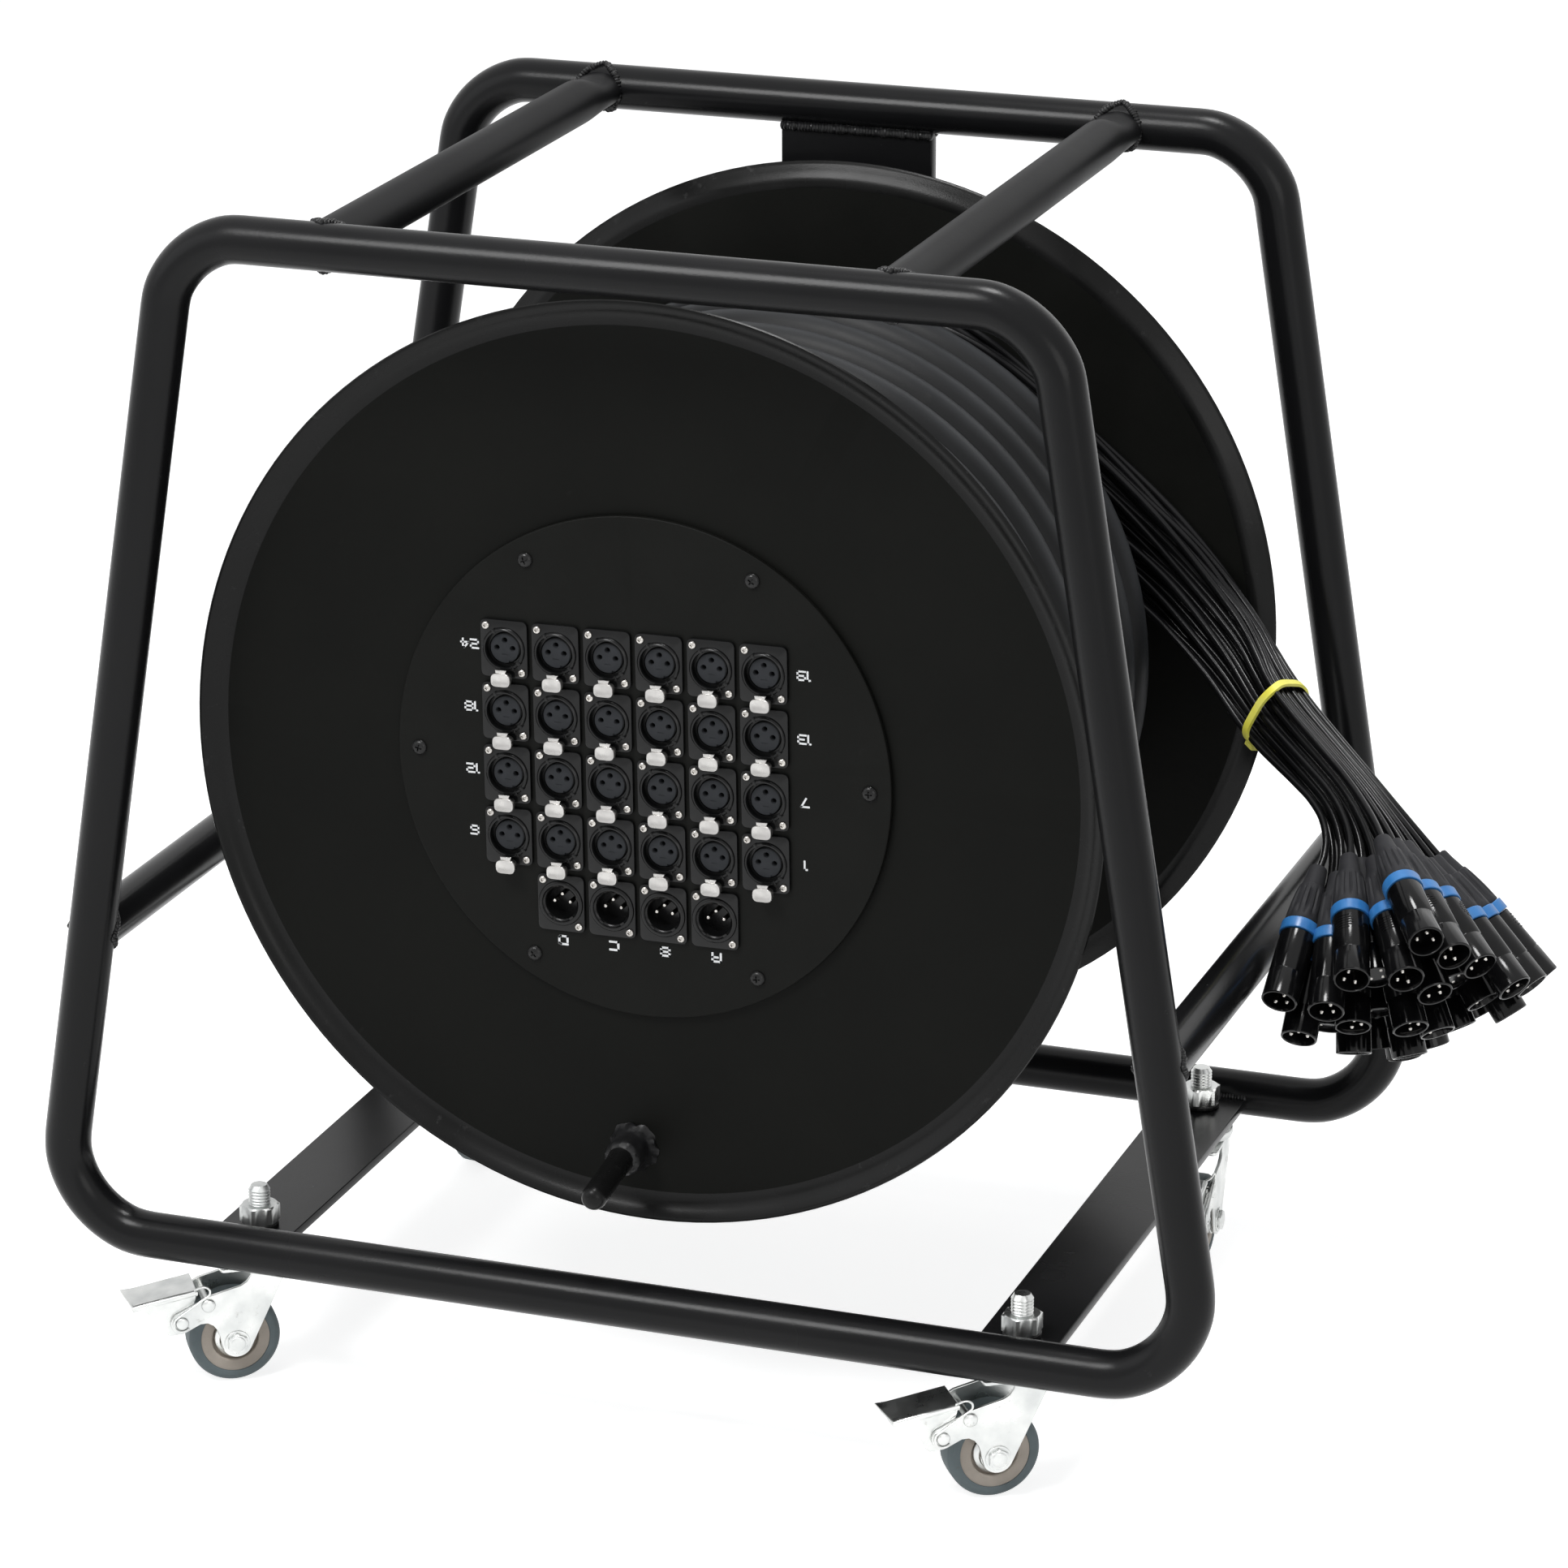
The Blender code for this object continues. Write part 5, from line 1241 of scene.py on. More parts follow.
def make_flanges():
    """Both dished discs with their rolled rims, which are painted glossier."""
    edge = [(236, 0), (239.5, 0.25), (242.2, 1.2), (245.6, 3.6), (248.2, 5.2), (249.6, 6.1), (250, 7.0),
            (249.5, 7.8), (248.5, 8.1), (247.3, 7.7), (243.8, 5.2), (241.2, 3.2), (238.7, 2.3), (235.5, 2)]
    for name, node, hole_r, inner_y, way in (
        ("front_disc", "front_flange", 113, FRONT_INNER_Y, -1),
        ("rear_disc", "rear_flange", 25.8, REAR_INNER_Y, 1),
    ):
        profile = [(r, way * h) for r, h in [(hole_r, 0)] + edge + [(hole_r, 2)]]
        shape = bmesh.new()
        add_turned(shape, mm(profile, inner_y), 160, ON_DRUM_AXIS)
        for face in shape.faces:
            middle = face.calc_center_median()
            reach = math.hypot(middle.x, middle.z - AXIS_Z)
            face.material_index = 1 if reach > 237 * MM else 0
        disc = piece_from(name, shape, ["drum_paint", "rim_paint"], 50)
        if node == "front_flange":
            cut_from(disc, lambda cutter: add_screw_bores(cutter, -150 * MM, -138 * MM))
        settle(disc, "drum", (node,))


def panel_place(x, z, y):
    """Facing front at a place of the panel's own grid, turned with it."""
    cosine = math.cos(PANEL_TURN)
    sine = math.sin(PANEL_TURN)
    place = facing_front(x * cosine - z * sine, y, AXIS_Z + x * sine + z * cosine)
    return place @ Matrix.Rotation(PANEL_TURN, 4, "Z")


def add_screw_bores(cutter, front_y, back_y):
    for i in range(6):
        angle = math.radians(60 * i)
        place = panel_place(PANEL_SCREW_R * math.cos(angle), PANEL_SCREW_R * math.sin(angle), back_y)
        add_slab(cutter, circle(2.2 * MM, 20), place, back_y - front_y)


def socket_places():
    """Middles of all the sockets on the panel, the four return sockets last."""
    places = []
    for row in range(4):
        for column in range(6):
            places.append(((column - 2.5) * COLUMN_PITCH + GRID_X, GRID_Z + (1.5 - row) * ROW_PITCH))
    for column in (1, 2, 3, 4):
        places.append(((column - 2.5) * COLUMN_PITCH + GRID_X, GRID_Z - 2.5 * ROW_PITCH))
    return places


def make_panel():
    shape = bmesh.new()
    back = PANEL_FRONT_Y + 3.2 * MM
    add_turned(shape, rounded(plain_section(PANEL_R, PANEL_FRONT_Y, back), 0.9 * MM), 144, ON_DRUM_AXIS)
    panel = piece_from("panel_disc", shape, ["panel_paint"], 50)

    def openings(cutter):
        for x, z in socket_places():
            add_slab(cutter, circle(11.9 * MM, 36), panel_place(x, z, back + MM), 6 * MM)
        add_screw_bores(cutter, PANEL_FRONT_Y - MM, back + MM)

    cut_from(panel, openings)
    settle(panel, "drum", ("connector_panel",))

    def screw(shape):
        profile = [(0, -4), (1.7, -4), (1.7, 0), (4.0, 0), (4.1, 0.5), (3.6, 1.4), (2.5, 2.05), (0, 2.3)]
        add_turned(shape, mm(profile), 28, on_panel(PANEL_FRONT_Y - 0.1 * MM))

    piece = small_piece("screw", screw, "black_screw", 40)
    recess = on_panel(PANEL_FRONT_Y - 1.2 * MM)
    cut_from(piece, lambda cutter: add_cross(cutter, recess, 2.5 * MM, 0.8 * MM))
    screws = grow("panel_screw_heads", ring_tree("black_screw"),
                  {"Small piece": piece, "Count": 6, "Circle radius": PANEL_SCREW_R})
    drop_piece(piece)
    settle(screws, "drum", ("panel_screws",))


def add_cross(cutter, place, reach, width):
    """The recess of a cross-head screw, narrowing as it goes in."""
    rings = []
    for height, size in ((-0.2 * MM, 0.4), (2 * MM, 1.1)):
        far = reach * size
        near = width / 2
        ring = []
        for i in range(4):
            turn = Matrix.Rotation(i * math.pi / 2, 4, "Z")
            for x, y in ((far, -near), (far, near), (near, near)):
                ring.append(place @ (turn @ Vector((x, y, height))))
        rings.append(ring)
    add_skin(cutter, rings)


def on_panel(y):
    """A small piece's own place before the grid moves it: facing front at a depth."""
    return facing_front(0, y, 0)


def divided(outline, longest):
    """An outline whose long sides are split, so that it can be joined to a circle."""
    out = []
    for i, (x, y) in enumerate(outline):
        next_x, next_y = outline[(i + 1) % len(outline)]
        pieces = max(1, math.ceil(math.hypot(next_x - x, next_y - y) / longest))
        out += [(x + (next_x - x) * k / pieces, y + (next_y - y) * k / pieces) for k in range(pieces)]
    return out


def add_holed_flange(shape):
    """The rounded flange of a socket with its round opening."""
    place = on_panel(PANEL_FRONT_Y - 0.1 * MM)
    outline = divided(box_outline(26 * MM, 31 * MM, corner=3.4 * MM, steps=6), 2.6 * MM)
    hole_r = 10.8 * MM
    hole = [(x * hole_r / math.hypot(x, y), y * hole_r / math.hypot(x, y)) for x, y in outline]
    rings = [ring_at(place, hole), ring_at(place, outline)]
    rings += stacked(place, outline, mm([(1.5, 0), (1.85, 0.15), (2, 0.5)]))
    rings.append(ring_at(place, hole, SOCKET_PROUD))
    add_skin(shape, rings, closed=True)


def socket_shell(shape):
    """Flange with rounded corners, raised ring, groove, and the body behind the panel."""
    place = on_panel(PANEL_FRONT_Y - 0.1 * MM)
    add_holed_flange(shape)
    profile = [
        (8.2, 0.8), (8.2, -23), (11.1, -23), (11.1, 1.6), (11.7, 1.8), (11.75, 2.35), (11.4, 2.95),
        (10.8, 3.4), (10.1, 3.3), (9.8, 2.6), (9.7, -0.6), (8.6, -0.6), (8.4, 0.7),
    ]
    add_turned(shape, mm(profile), 48, place)
    for degrees, width in ((-40, 2.2), (-62, 1.2), (118, 1.6)):
        turn = around(10.8 * MM, degrees, 2.6 * MM) @ Matrix.Rotation(math.radians(degrees), 4, "Z")
        outline = box_outline(2.4 * MM, width * MM, corner=0.3 * MM)
        add_slab(shape, outline, place @ turn, 0.95 * MM, 0.25 * MM)


def socket_insert(shape):
    """Dark insert with its three bores and a pressed mark."""
    place = on_panel(PANEL_FRONT_Y - 0.9 * MM)
    add_turned(shape, rounded(plain_section(8 * MM, -10 * MM, 0), 0.45 * MM), 44, place)


def cut_insert(cutter):
    place = on_panel(PANEL_FRONT_Y - 0.9 * MM)
    bore = mm([(0, -6), (1.35, -6), (1.35, -0.45), (1.75, 0.2), (1.75, 1), (0, 1)])
    for degrees in (90, 178, 2):
        add_turned(cutter, bore, 18, place @ around(PIN_CIRCLE_R, degrees))
    for outline, sunk, depth in (
        (box_outline(3.3 * MM, 0.55 * MM, (0, -3.2 * MM)), 0.25 * MM, MM),
        (box_outline(2.4 * MM, 1.6 * MM, (3.4 * MM, -7.2 * MM)), 0.8 * MM, 2 * MM),
    ):
        add_slab(cutter, outline, place @ Matrix.Translation((0, 0, -sunk)), depth)


def socket_screw(shape):
    profile = [(0, -2.5), (1.3, -2.5), (1.3, 0), (2.15, 0), (2.25, 0.35), (2.0, 1.05), (1.3, 1.5),
               (0, 1.65)]
    add_turned(shape, mm(profile), 24, on_panel(SOCKET_FRONT_Y))


def tab_face(shape):
    """A push tab: a rounded face with a raised rim, and a narrower neck that goes into the ring."""
    place = on_panel(SOCKET_FRONT_Y) @ Matrix.Translation((0, -TAB_DROP, 0))
    outline = box_outline(10.9 * MM, 7.5 * MM, corner=3.3 * MM, steps=7)
    levels = [(2.0, 0.6), (4.3, 0.3), (4.9, 0), (6.05, 0), (6.45, 0.35), (6.45, 0.75), (6.17, 1.1)]
    add_skin(shape, stacked(place, outline, mm(levels)))
    neck = [(-2.8, 3.0), (2.8, 3.0), (2.8, 4.4), (3.3, 5.4), (-3.0, 5.4), (-2.8, 4.4)]
    add_slab(shape, mm(neck), place @ Matrix.Translation((0, 0, 4.3 * MM)), 1.5 * MM, 0.25 * MM)


def return_cup(shape):
    """The deep cup of a return socket with its raised ring and two key ribs."""
    place = on_panel(PANEL_FRONT_Y - 0.1 * MM)
    profile = [
        (0, -9.5), (0, -22), (11.4, -22), (11.4, 1.6), (12.3, 1.8), (12.35, 2.35), (11.8, 3.1), (10.9, 3.4),
        (10.2, 3.2), (9.8, 2.4), (9.2, 2), (8.7, 1.4), (8.6, -9.5),
    ]
    add_turned(shape, mm(profile), 48, place)
    for degrees in (-52, 232):
        turn = around(9.6 * MM, degrees, 1.8 * MM) @ Matrix.Rotation(math.radians(degrees), 4, "Z")
        add_slab(shape, box_outline(1.6 * MM, 2.6 * MM, corner=0.3 * MM), place @ turn, 1.1 * MM, 0.2 * MM)


def return_pins(shape):
    place = on_panel(PANEL_FRONT_Y - 0.1 * MM)
    pin = mm([(0, -11), (1.2, -11), (1.2, -0.6), (0.95, 0.1), (0.5, 0.45), (0, 0.5)])
    for degrees in (90, 176, 4):
        add_turned(shape, pin, 16, place @ around(PIN_CIRCLE_R, degrees))


def copy_row(row, columns, name, tree, piece, shift=(0, 0), body="drum", nodes=(), sharp=42):
    """Copies of one small piece along a row of the panel, counted from the top."""
    x = GRID_X + shift[0] * MM
    z = GRID_Z + (1.5 - row) * ROW_PITCH + shift[1] * MM
    made = grow(name, tree, {
        "Columns": columns, "Rows": 1, "Middle": (x, 0.0, z), "Small piece": piece,
    }, sharp=sharp)
    settle(made, body, nodes)


def make_sockets():
    """All sockets, row by row, so that each row stands for its CAD row."""
    gloss = grid_tree("socket_gloss")
    matte = grid_tree("socket_insert")
    metal = grid_tree("bright_screw")
    tab_tree = grid_tree("tab_metal")
    shell = small_piece("shell", socket_shell, "socket_gloss", 42)
    bored = small_piece("insert", socket_insert, "socket_insert", 42)
    cut_from(bored, cut_insert)
    screw = small_piece("socket_screw", socket_screw, "bright_screw", 40)
    recess = on_panel(SOCKET_FRONT_Y - 0.9 * MM)
    cut_from(screw, lambda cutter: add_cross(cutter, recess, 1.35 * MM, 0.55 * MM))
    tab = small_piece("tab", tab_face, "tab_metal", 45)
    flange = small_piece("flange", add_holed_flange, "socket_gloss", 42)
    cup = small_piece("cup", return_cup, "socket_gloss", 42)
    pins = small_piece("pins", return_pins, "bright_screw", 40)
    across, up = SOCKET_SCREW
    for row in range(4):
        word = f"row_{row + 1}"
        copy_row(row, 6, f"socket_shells_{word}", gloss, shell,
                 nodes=(f"line_sockets_{word}",))
        copy_row(row, 6, f"socket_inserts_{word}", matte, bored)
        copy_row(row, 6, f"socket_screws_high_{word}", metal, screw, (-across, up))
        copy_row(row, 6, f"socket_screws_low_{word}", metal, screw, (across, -up))
        copy_row(row, 6, f"push_faces_{word}", tab_tree, tab, body=f"tabs_{row + 1}",
                 nodes=(f"push_tabs_{word}",), sharp=45)
    copy_row(4, 4, "return_flanges", gloss, flange, nodes=("return_sockets_row",))
    copy_row(4, 4, "return_cups", gloss, cup)
    copy_row(4, 4, "return_pins", metal, pins)
    copy_row(4, 4, "return_screws_high", metal, screw, (-across, up))
    copy_row(4, 4, "return_screws_low", metal, screw, (across, -up))
    for piece in (shell, bored, screw, tab, flange, cup, pins):
        drop_piece(piece)


# Strokes of squared characters on a grid two wide and four high, each a broken line.
STROKES = {
    "1": [[(0, 4), (0.62, 4), (0.62, 0)]],
    "2": [[(0, 4), (2, 4), (2, 2), (0, 2), (0, 0), (2, 0)]],
    "3": [[(0, 4), (2, 4), (2, 0), (0, 0)], [(0.5, 2), (2, 2)]],
    "4": [[(1.5, 0), (1.5, 4), (1.1, 4), (0, 1.5), (2, 1.5)]],
    "6": [[(2, 4), (0, 4), (0, 0), (2, 0), (2, 2), (0, 2)]],
    "7": [[(0, 4), (2, 4), (0.75, 0)]],
    "8": [[(0, 0), (2, 0), (2, 4), (0, 4), (0, 0)], [(0, 2), (2, 2)]],
    "9": [[(0, 0), (2, 0), (2, 4), (0, 4), (0, 2), (2, 2)]],
    "A": [[(0, 0), (0, 4), (2, 4), (2, 0)], [(0.75, 1.9), (2, 1.9)]],
    "B": [[(0, 0), (2, 0), (2, 1.75), (1.8, 2), (2, 2.25), (2, 4), (0, 4), (0, 0)], [(0, 2), (1.8, 2)]],
    "C": [[(2, 4), (0, 4), (0, 0), (2, 0)]],
    "D": [[(0, 2.7), (0, 0), (1.6, 0), (2, 0.5), (2, 3.5), (1.6, 4), (0, 4)]],
}


def add_text(shape, text, place, wide, high, weight):
    """White characters as thin raised strokes, centred on the middle of the word."""
    widths = [max(x for line in STROKES[letter] for x, y in line) * wide / 2 + weight for letter in text]
    start = -(sum(widths) + 0.3 * MM * (len(text) - 1)) / 2 + weight / 2
    for letter, width in zip(text, widths):
        for line in STROKES[letter]:
            for (x0, y0), (x1, y1) in zip(line, line[1:]):
                a = Vector((start + x0 * wide / 2, (y0 - 2) * high / 4))
                b = Vector((start + x1 * wide / 2, (y1 - 2) * high / 4))
                along = (b - a).normalized() * (weight / 2)
                across = Vector((-along.y, along.x))
                a -= along
                b += along
                stroke = [tuple(corner) for corner in (a - across, b - across, b + across, a + across)]
                add_slab(shape, rounded(stroke, weight * 0.3, 3), place, 0.1 * MM)
        start += width + 0.3 * MM


def make_characters():
    """Channel numbers beside the sockets and letters under the return sockets, all printed upside down."""
    shape = bmesh.new()
    half_turn = Matrix.Rotation(math.pi, 4, "Z")
    left = -2.5 * COLUMN_PITCH + GRID_X - 20 * MM
    right = 2.5 * COLUMN_PITCH + GRID_X + 21.2 * MM
    y = PANEL_FRONT_Y + 0.02 * MM
    size = (4.1 * MM, 4.5 * MM, 1.02 * MM)
    for row, (first, last) in enumerate((("24", "19"), ("18", "13"), ("12", "7"), ("6", "1"))):
        z = GRID_Z + (1.5 - row) * ROW_PITCH + 0.6 * MM
        add_text(shape, first, panel_place(left, z, y) @ half_turn, *size)
        add_text(shape, last, panel_place(right, z, y) @ half_turn, *size)
    for column, letter in zip((1, 2, 3, 4), "DCBA"):
        x = (column - 2.5) * COLUMN_PITCH + GRID_X
        place = panel_place(x, GRID_Z - 2.5 * ROW_PITCH - 21.3 * MM, y)
        add_text(shape, letter, place @ half_turn, 4.6 * MM, 4.4 * MM, 1.2 * MM)
    marks = piece_from("channel_marks", shape, ["channel_white"])
    settle(marks, "drum")


def make_handle():
    """Boss welded near the rim, its rough weld, and the leaning rod with a rounded end."""
    angle = math.radians(-92)
    x = HANDLE_CIRCLE_R * math.cos(angle)
    z = AXIS_Z + HANDLE_CIRCLE_R * math.sin(angle)
    back = FRONT_FACE_Y
    front = back - 20.3 * MM

    def rough(turn, height):
        at_back = ease((height - (back - 7 * MM)) / (5 * MM))
        near = at_back + 0.8 * ease((front + 4 * MM - height) / (3 * MM))
        return near * 0.75 * MM * (math.sin(5 * turn + 40 * height / MM) + 0.7 * math.sin(11 * turn + 1.3))

    profile = mm([(0, -0.6), (6.6, -0.6), (8.3, 0.4), (9.6, 2.2)], front)
    profile += mm([(10, 2.2 + 1.1 * i) for i in range(1, 12)], front)
    profile += mm([(10.9, -3.8), (12.3, -2), (13.4, -0.5), (13.4, -0.05), (0, -0.05)], back)
    shape = bmesh.new()
    add_turned(shape, profile, 44, Matrix.Translation((x, 0, z)) @ ALONG_Y, ripple=rough)
    boss = piece_from("handle_socket", shape, ["weld_paint"], 50)
    settle(boss, "drum", ("handle_boss",))

    def worn(turn, height):
        return 0.05 * MM * math.sin(3 * turn + height * 400)

    lean = Matrix.Rotation(math.radians(5), 4, "X") @ Matrix.Rotation(math.radians(2.5), 4, "Z")
    profile = mm([(0, 0), (2.4, 0.3), (4.6, 1.4), (6.1, 3.3), (6.75, 6), (6.75, 12)], -49 * MM)
    profile += mm([(6.75, -4), (6.9, -1.5), (7.4, 0), (5, 2), (0, 2)])
    shape = bmesh.new()
    add_turned(shape, profile, 36, Matrix.Translation((x, front, z)) @ lean @ ALONG_Y, ripple=worn)
    rod = piece_from("handle_rod", shape, ["rim_paint"], 50)
    settle(rod, "drum", ("turning_handle",))


def make_winding():
    coil = grow("wound_cable", winding_tree("cable_rubber"), {"First turn": FIRST_TURN_Y}, sharp=60)
    settle(coil, "drum", ("cable_winding",))


def make_under_layers():
    """The layers below the wound cable, and the cable's way from the barrel to the panel."""
    low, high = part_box("cable_core_layers")
    middle_r = WINDING_R - 22.5 * MM
    barrel_r = 118.3 * MM
    profile = [(barrel_r, low[1]), (middle_r, low[1])]
    y = FIRST_TURN_Y + TURN_PITCH / 2
    while y < high[1] - 6 * MM:
        for degrees in (-66, -44, -22, 0, 22, 44, 66):
            angle = math.radians(degrees)
            point = (middle_r + CABLE_R * math.cos(angle), y + CABLE_R * math.sin(angle))
            if low[1] < point[1] < high[1]:
                profile.append(point)
        y += TURN_PITCH
    profile += [(middle_r, high[1]), (barrel_r, high[1])]
    shape = bmesh.new()
    add_turned(shape, profile, 120, ON_DRUM_AXIS)
    layers = piece_from("under_layers", shape, ["cable_rubber"], 60)
    settle(layers, "drum", ("cable_core_layers",))
    points = [
        Vector((0, y * MM, AXIS_Z + z * MM)) for y, z in
        ((40, 116), (40, 100), (35, 86), (24, 72), (4, 61), (-22, 56), (-48, 55), (-82, 55))
    ]
    way = even_points(smooth_through(points, 6), 40)
    shape = bmesh.new()
    add_hose(shape, way, [CABLE_R] * len(way), 28)
    inside = piece_from("cable_to_panel", shape, ["cable_rubber"], 60)
    settle(inside, "drum", ("inner_cable",))


# Casters.

CASTERS = (
    ("front_left", -1, -1, 35), ("front_right", 1, -1, 35),
    ("rear_left", -1, 1, 86), ("rear_right", 1, 1, 93),
)
# Places on a caster seen from its side, in millimetres from the wheel's axle.
PEDAL_PIVOT = (-29.6, 14.4)
FORK_PIN = (-15.1, 23.3)
WHEEL_R = 25 * MM
TRAIL = 17 * MM
FORK_IN = 13.2 * MM
FORK_OUT = 15.2 * MM
CROWN_Z = 66 * MM
SWIVEL_Z = 75 * MM


def from_axle(points):
    """Points of a caster's side view, given in millimetres from the wheel's axle."""
    return [(u * MM - TRAIL, z * MM + WHEEL_R) for u, z in points]


def arc(centre, radius, degrees):
    return [
        (centre[0] + radius * math.cos(math.radians(a)), centre[1] + radius * math.sin(math.radians(a)))
        for a in degrees
    ]


def fork_side():
    """Side of a fork cheek: arch, ear for the pedal, and the edge up to the crown."""
    points = [(30, 42), (24.8, 32.4)]
    points += arc((0, 0), 8.5, range(-28, -153, -12))
    points += [(-8.9, 1.4), (-9.4, 4.6), (-10.6, 8.1), (-12.7, 11), (-15.8, 12.8), (-19.6, 12.7),
               (-24, 10.6), (-27.6, 8.8)]
    points += arc(PEDAL_PIVOT, 6.1, range(-95, -236, -14))
    points += [(-20.9, 25.2), (-15.6, 28.2), (-6, 30.6), (2.6, 32.7), (6, 34.8), (8.4, 38), (9.2, 42)]
    return from_axle(points)


def dome(radius, proud, low=0.0):
    """Half section of a flat rivet head, for turning."""
    steps = ((0, 0), (0.97, 0), (1, 0.28), (0.95, 0.52), (0.82, 0.74), (0.6, 0.9), (0.33, 0.98), (0, 1))
    return [(radius * out, low + proud * up) for out, up in steps]


def add_rod(shape, caster, spot, radius, reach, steps):
    """A plain rod across the caster at a place of its side view."""
    (x, z), = from_axle([spot])
    place = caster @ Matrix.Translation((x, 0, z)) @ ALONG_Y
    add_turned(shape, plain_section(radius, -reach, reach), steps, place)


def both_sides(caster, spot, reach):
    """Places on the two outer faces of the fork, local Z outwards."""
    (x, z), = from_axle([spot])
    far = Matrix(((-1, 0, 0, x), (0, 0, 1, reach), (0, 1, 0, z), (0, 0, 0, 1)))
    return caster @ facing_front(x, -reach, z), caster @ far


def make_fork(name, caster, word):
    shape = bmesh.new()
    for y in (-FORK_IN, FORK_OUT):
        add_slab(shape, fork_side(), caster @ facing_front(0, y, 0), FORK_OUT - FORK_IN, 0.4 * MM)
    crown = box_outline(38 * MM, 2 * FORK_OUT, (-6 * MM, 0), 3 * MM)
    add_slab(shape, crown, caster @ Matrix.Translation((0, 0, CROWN_Z)), 2 * MM, 0.5 * MM)
    race = [(0, 67), (13, 67), (15.6, 67.8), (17.8, 69.6), (18.5, 71.4), (18.5, 73.2), (18.1, 74),
            (16.8, 74.4), (16.8, 75), (0, 75)]
    add_turned(shape, mm(race), 48, caster)
    for place in both_sides(caster, (0, 0), FORK_OUT - 0.1 * MM):
        add_turned(shape, rounded(plain_section(6.9 * MM, 0, 0.9 * MM), 0.25 * MM), 36, place)
        add_hex_nut(shape, place, 0.85 * MM, 2.0 * MM, 5.9 * MM, 1.2 * MM)
        add_turned(shape, dome(4.2 * MM, 0.9 * MM, 2.6 * MM), 30, place)
    for place in both_sides(caster, FORK_PIN, FORK_OUT - 0.1 * MM):
        add_turned(shape, dome(3.9 * MM, 2.0 * MM), 28, place)
    add_rod(shape, caster, (0, 0), 4 * MM, FORK_IN + MM, 20)
    add_rod(shape, caster, FORK_PIN, 2 * MM, FORK_IN + MM, 16)
    # Brake spring: an eye round the pedal's pin, a straight run and a hook over the pedal.
    # Each point is along, up and, where it leaves the spring's own plane, across.
    spring = arc(PEDAL_PIVOT, 4.6, range(-40, -226, -15))
    spring += [(-26, 22), (-20.6, 25.6), (-16.4, 28.2), (-14.4, 30), (-14.3, 32.2), (-15.9, 34),
               (-18.2, 34.6), (-20.4, 33.9, -15.6), (-21.4, 32.6, -14.2), (-21.8, 31.6, -12.2)]
    points = [
        caster @ Vector((along * MM - TRAIL, (across[0] if across else -15.95) * MM, up * MM + WHEEL_R))
        for along, up, *across in spring
    ]
    wire = even_points(smooth_through(points, 4), 80)
    add_hose(shape, wire, [0.62 * MM] * len(wire), 10)
    fork = piece_from(name, shape, ["zinc_plate"], 34)
    settle(fork, f"swivel_{word}", (f"caster_fork_{word}",))


def make_pedal(name, caster, word):
    """Tread with a slanted lip, its two cheeks and the pin with its heads."""
    shape = bmesh.new()
    low, high = 11.6 * MM, 12.9 * MM
    side = [(-52.4, 25.4), (-46.2, 19.6), (-44.2, 18.6), (-42.6, 18.4), (-42.4, 16.6), (-37.2, 7.6),
            (-36.2, 6.7), (-28.6, 7.3), (-27.6, 7.9), (-26.9, 10), (-23.4, 20), (-20.6, 30.8)]
    for y in (-low, high):
        add_slab(shape, from_axle(side), caster @ facing_front(0, y, 0), high - low, 0.25 * MM)
    slope = 5.8 / 35
    rings = []
    for drop, inset in (
        (3.3, 1.5), (3.2, 0.5), (2.5, 0.05), (1.8, 0.0), (1.1, 0.2), (0.5, 0.7), (0.15, 1.4), (0.0, 2.1),
    ):
        w = 13.3 - inset
        end = 0.45 * inset
        plan = [(-20.3 - end, -w), (-20.3 - end, w)]
        plan += [(u, w) for u in (-30, -42, -52)]
        plan += [(-56.4, w), (-58.9 + end, w - 0.9), (-58.6 + end, w - 4)]
        plan += [(-57.6 + end, 0), (-56.4 + end, 4 - w), (-55.9 + end, -w), (-52, -w), (-42, -w), (-30, -w)]
        ring = []
        for u, y in plan:
            top = 26 + (u + 55.5) * slope
            lift = max(0.0, -55.2 - u) * 0.28
            thick = 1.0 if -56 < u else 0.45
            height = (top + lift - drop * thick) * MM + WHEEL_R
            ring.append(caster @ Vector((u * MM - TRAIL, y * MM, height)))
        rings.append(ring)
    add_skin(shape, rings)
    for place in both_sides(caster, PEDAL_PIVOT, FORK_OUT + 0.05 * MM):
        add_turned(shape, dome(3.6 * MM, 1.6 * MM), 28, place)
    add_rod(shape, caster, PEDAL_PIVOT, 2.5 * MM, FORK_OUT + 0.4 * MM, 18)
    pedal = piece_from(name, shape, ["zinc_plate"], 34)
    settle(pedal, f"pedal_{word}", (f"brake_pedal_{word}",))


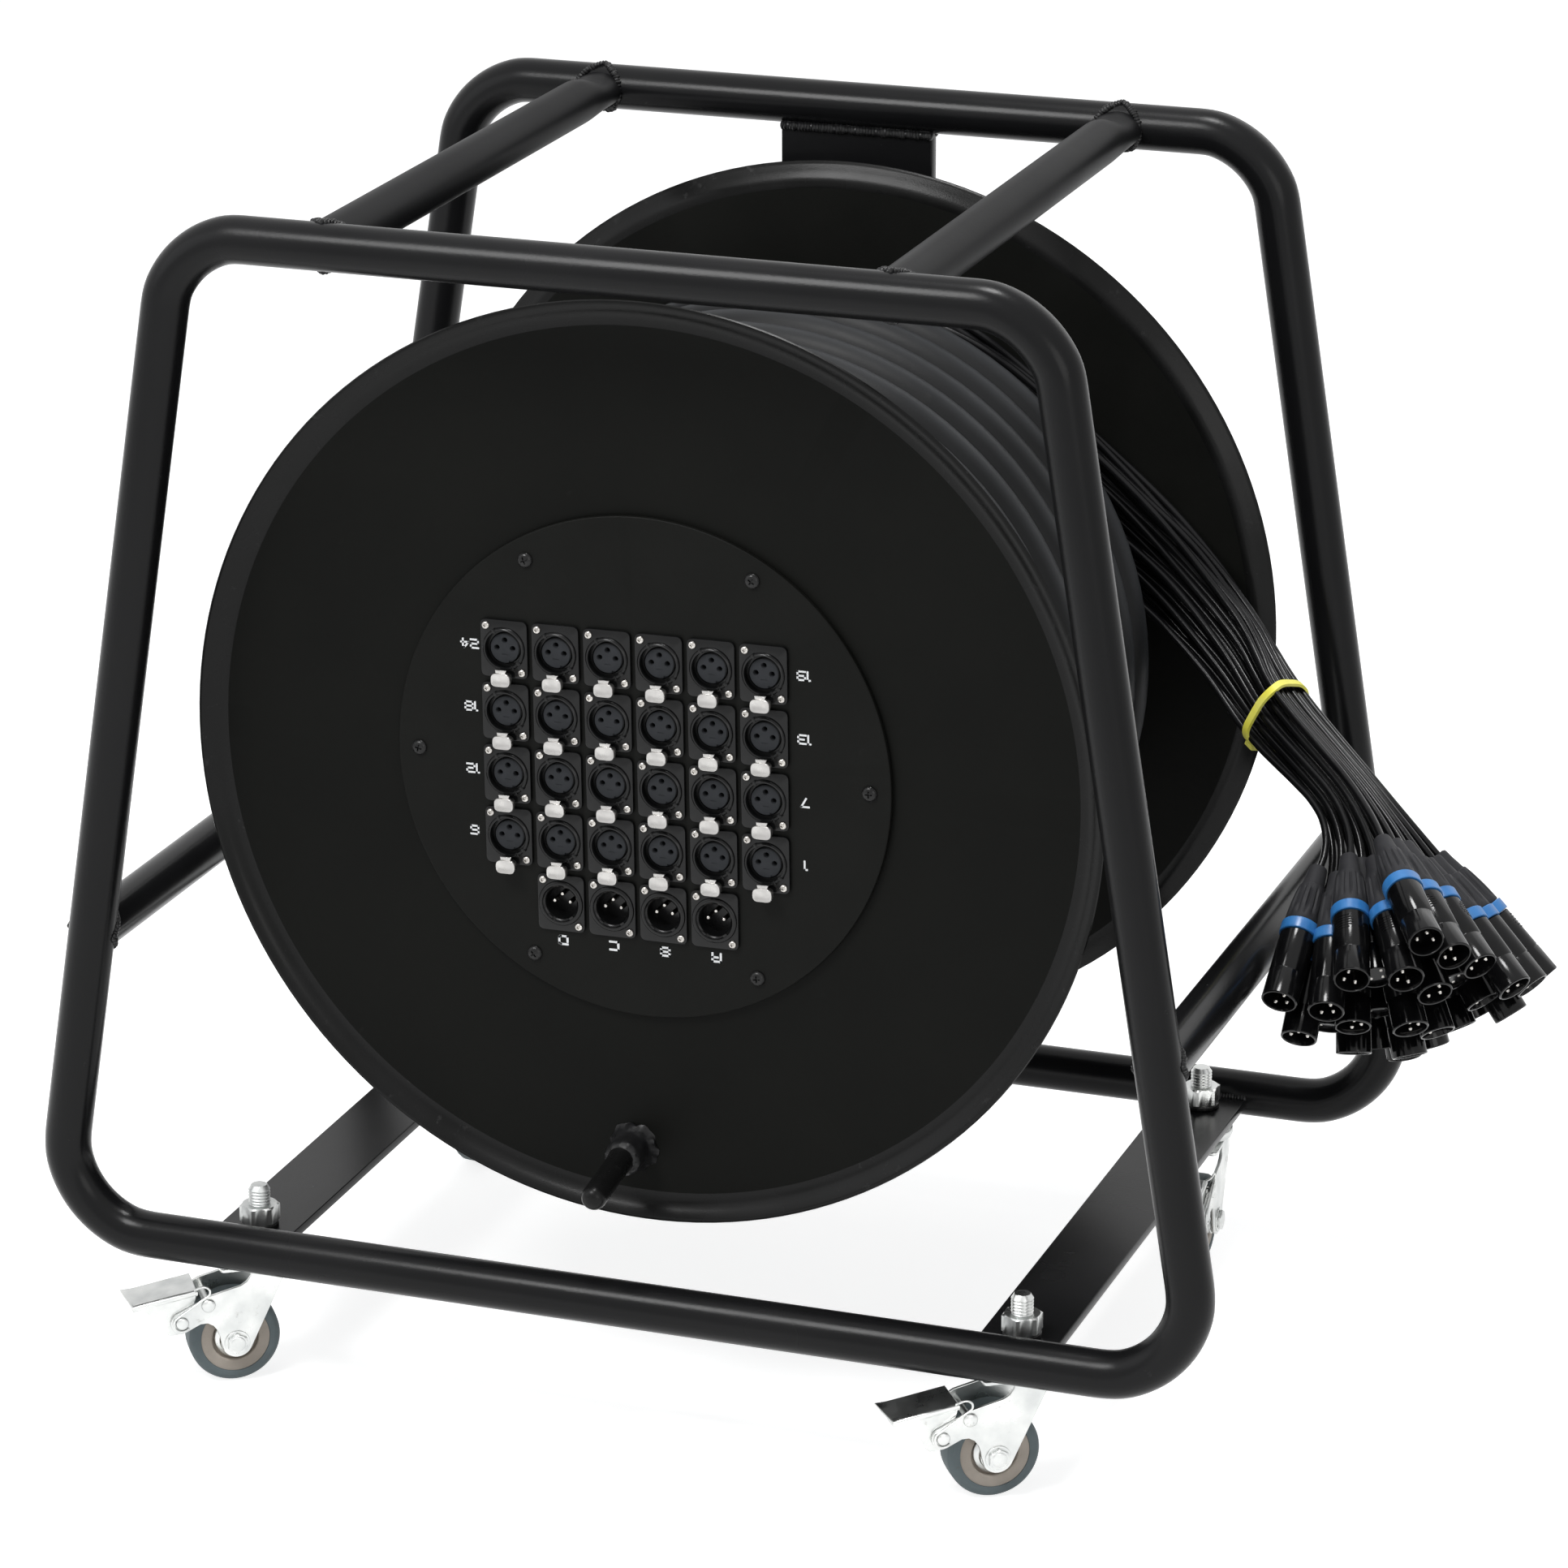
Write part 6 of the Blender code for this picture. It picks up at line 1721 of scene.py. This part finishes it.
def make_wheel(caster, word):
    """Tyre and core, turned from half sections of (radius, distance from the middle)."""
    place = caster @ Matrix.Translation((-TRAIL, 0, WHEEL_R)) @ ALONG_Y
    half = [(18.6, 9.0), (18.95, 9.85), (20.8, 10), (22.3, 9.8), (23.6, 8.9), (24.5, 7.3), (24.6, 6.95),
            (24.8, 6.75), (24.95, 4)]
    shape = bmesh.new()
    add_turned(shape, mm([(r, -y) for r, y in half] + [(25, 0)] + half[::-1]), 96, place)
    tyre = piece_from(f"tyre_{word}", shape, ["tyre_rubber"], 34)
    settle(tyre, f"wheel_{word}", (f"caster_tyre_{word}",))
    half = [(4.4, 12.5), (7.9, 12.5), (8.4, 12.1), (8.4, 10.2), (9.0, 9.3), (10.8, 8.5), (11.3, 8),
            (11.3, 5.6), (12.8, 5.6), (12.8, 9.1), (13.3, 9.55), (18.2, 9.6), (18.8, 9.3)]
    shape = bmesh.new()
    add_turned(shape, mm([(r, -y) for r, y in half] + half[::-1]), 72, place)
    back = place.inverted()
    for face in shape.faces:
        middle = back @ face.calc_center_median()
        in_hub = math.hypot(middle.x, middle.y) < 11.4 * MM and abs(middle.z) > 5 * MM
        face.material_index = 1 if in_hub else 0
    core = piece_from(f"wheel_core_{word}", shape, ["core_plastic", "zinc_plate"], 34)
    settle(core, f"wheel_{word}", (f"caster_core_{word}",))


def make_stud(x, y, word):
    """Fixed half of the swivel, the threaded stud, its spring washer and its nut."""
    place = Matrix.Translation((x, y, 0))
    shape = bmesh.new()
    bar_low = BAR_TOP_Z - BAR_THICK
    washer_low = BAR_TOP_Z + 0.3 * MM
    washer_top = washer_low + 2.4 * MM
    nut_top = washer_top + 10 * MM
    end = nut_top + 11 * MM
    race = mm([(0, 0.3), (17.2, 0.3), (18.3, 0.8), (18.5, 2)], SWIVEL_Z)
    race += mm([(18.2, -1.2), (17, -0.3), (6, -0.3)], bar_low) + mm([(6, -1.5)], nut_top)
    z = nut_top - 1.2 * MM
    while z < end - 2.6 * MM:
        race += [(5.15 * MM, z), (5.95 * MM, z + 0.8 * MM), (5.9 * MM, z + 0.95 * MM)]
        z += 1.75 * MM
    race += mm([(5.1, -1.5), (4.7, -0.5), (4.2, 0), (0, 0)], end)
    add_turned(shape, race, 40, place)
    add_hex_nut(shape, place, washer_top + 0.02 * MM, 10 * MM, 19 * MM / math.sqrt(3), 5.7 * MM)
    ring = plain_section(10.2 * MM, washer_low, washer_top, 6.4 * MM)
    add_turned(shape, rounded(ring, 0.5 * MM), 40, place, 1)
    stud = piece_from(f"stud_{word}", shape, ["zinc_plate", "black_screw"], 30)
    settle(stud, "frame", (f"caster_stud_{word}",))


def make_casters():
    for word, side, end, degrees in CASTERS:
        x, y = side * BAR_X, end * STUD_Y
        caster = Matrix.Translation((x, y, 0)) @ Matrix.Rotation(math.radians(degrees), 4, "Z")
        make_fork(f"fork_{word}", caster, word)
        make_pedal(f"pedal_sheet_{word}", caster, word)
        make_wheel(caster, word)
        make_stud(x, y, word)


def paint_inner_nodes():
    """Inner pieces whose modelled shape is shown as it is get a finish of their own."""
    for name, finish_name in (
        ("drum_barrel", "drum_paint"), ("hub_tube", "drum_paint"), ("hub_web", "drum_paint"),
        ("bearing_front", "axle_steel"), ("bearing_rear", "axle_steel"), ("cable_grommet", "sleeve_rubber"),
        ("axle_keeper_ring", "axle_steel"),
    ):
        node = bpy.data.objects[name]
        for index in range(len(node.data.materials)):
            node.data.materials[index] = FINISHES[finish_name]


place_camera()
light_studio()
lay_floor()
make_cable_end()
make_tubes()
make_base_bars()
make_axle_plate()
make_flanges()
make_panel()
make_sockets()
make_characters()
make_handle()
make_winding()
make_under_layers()
make_casters()
paint_inner_nodes()
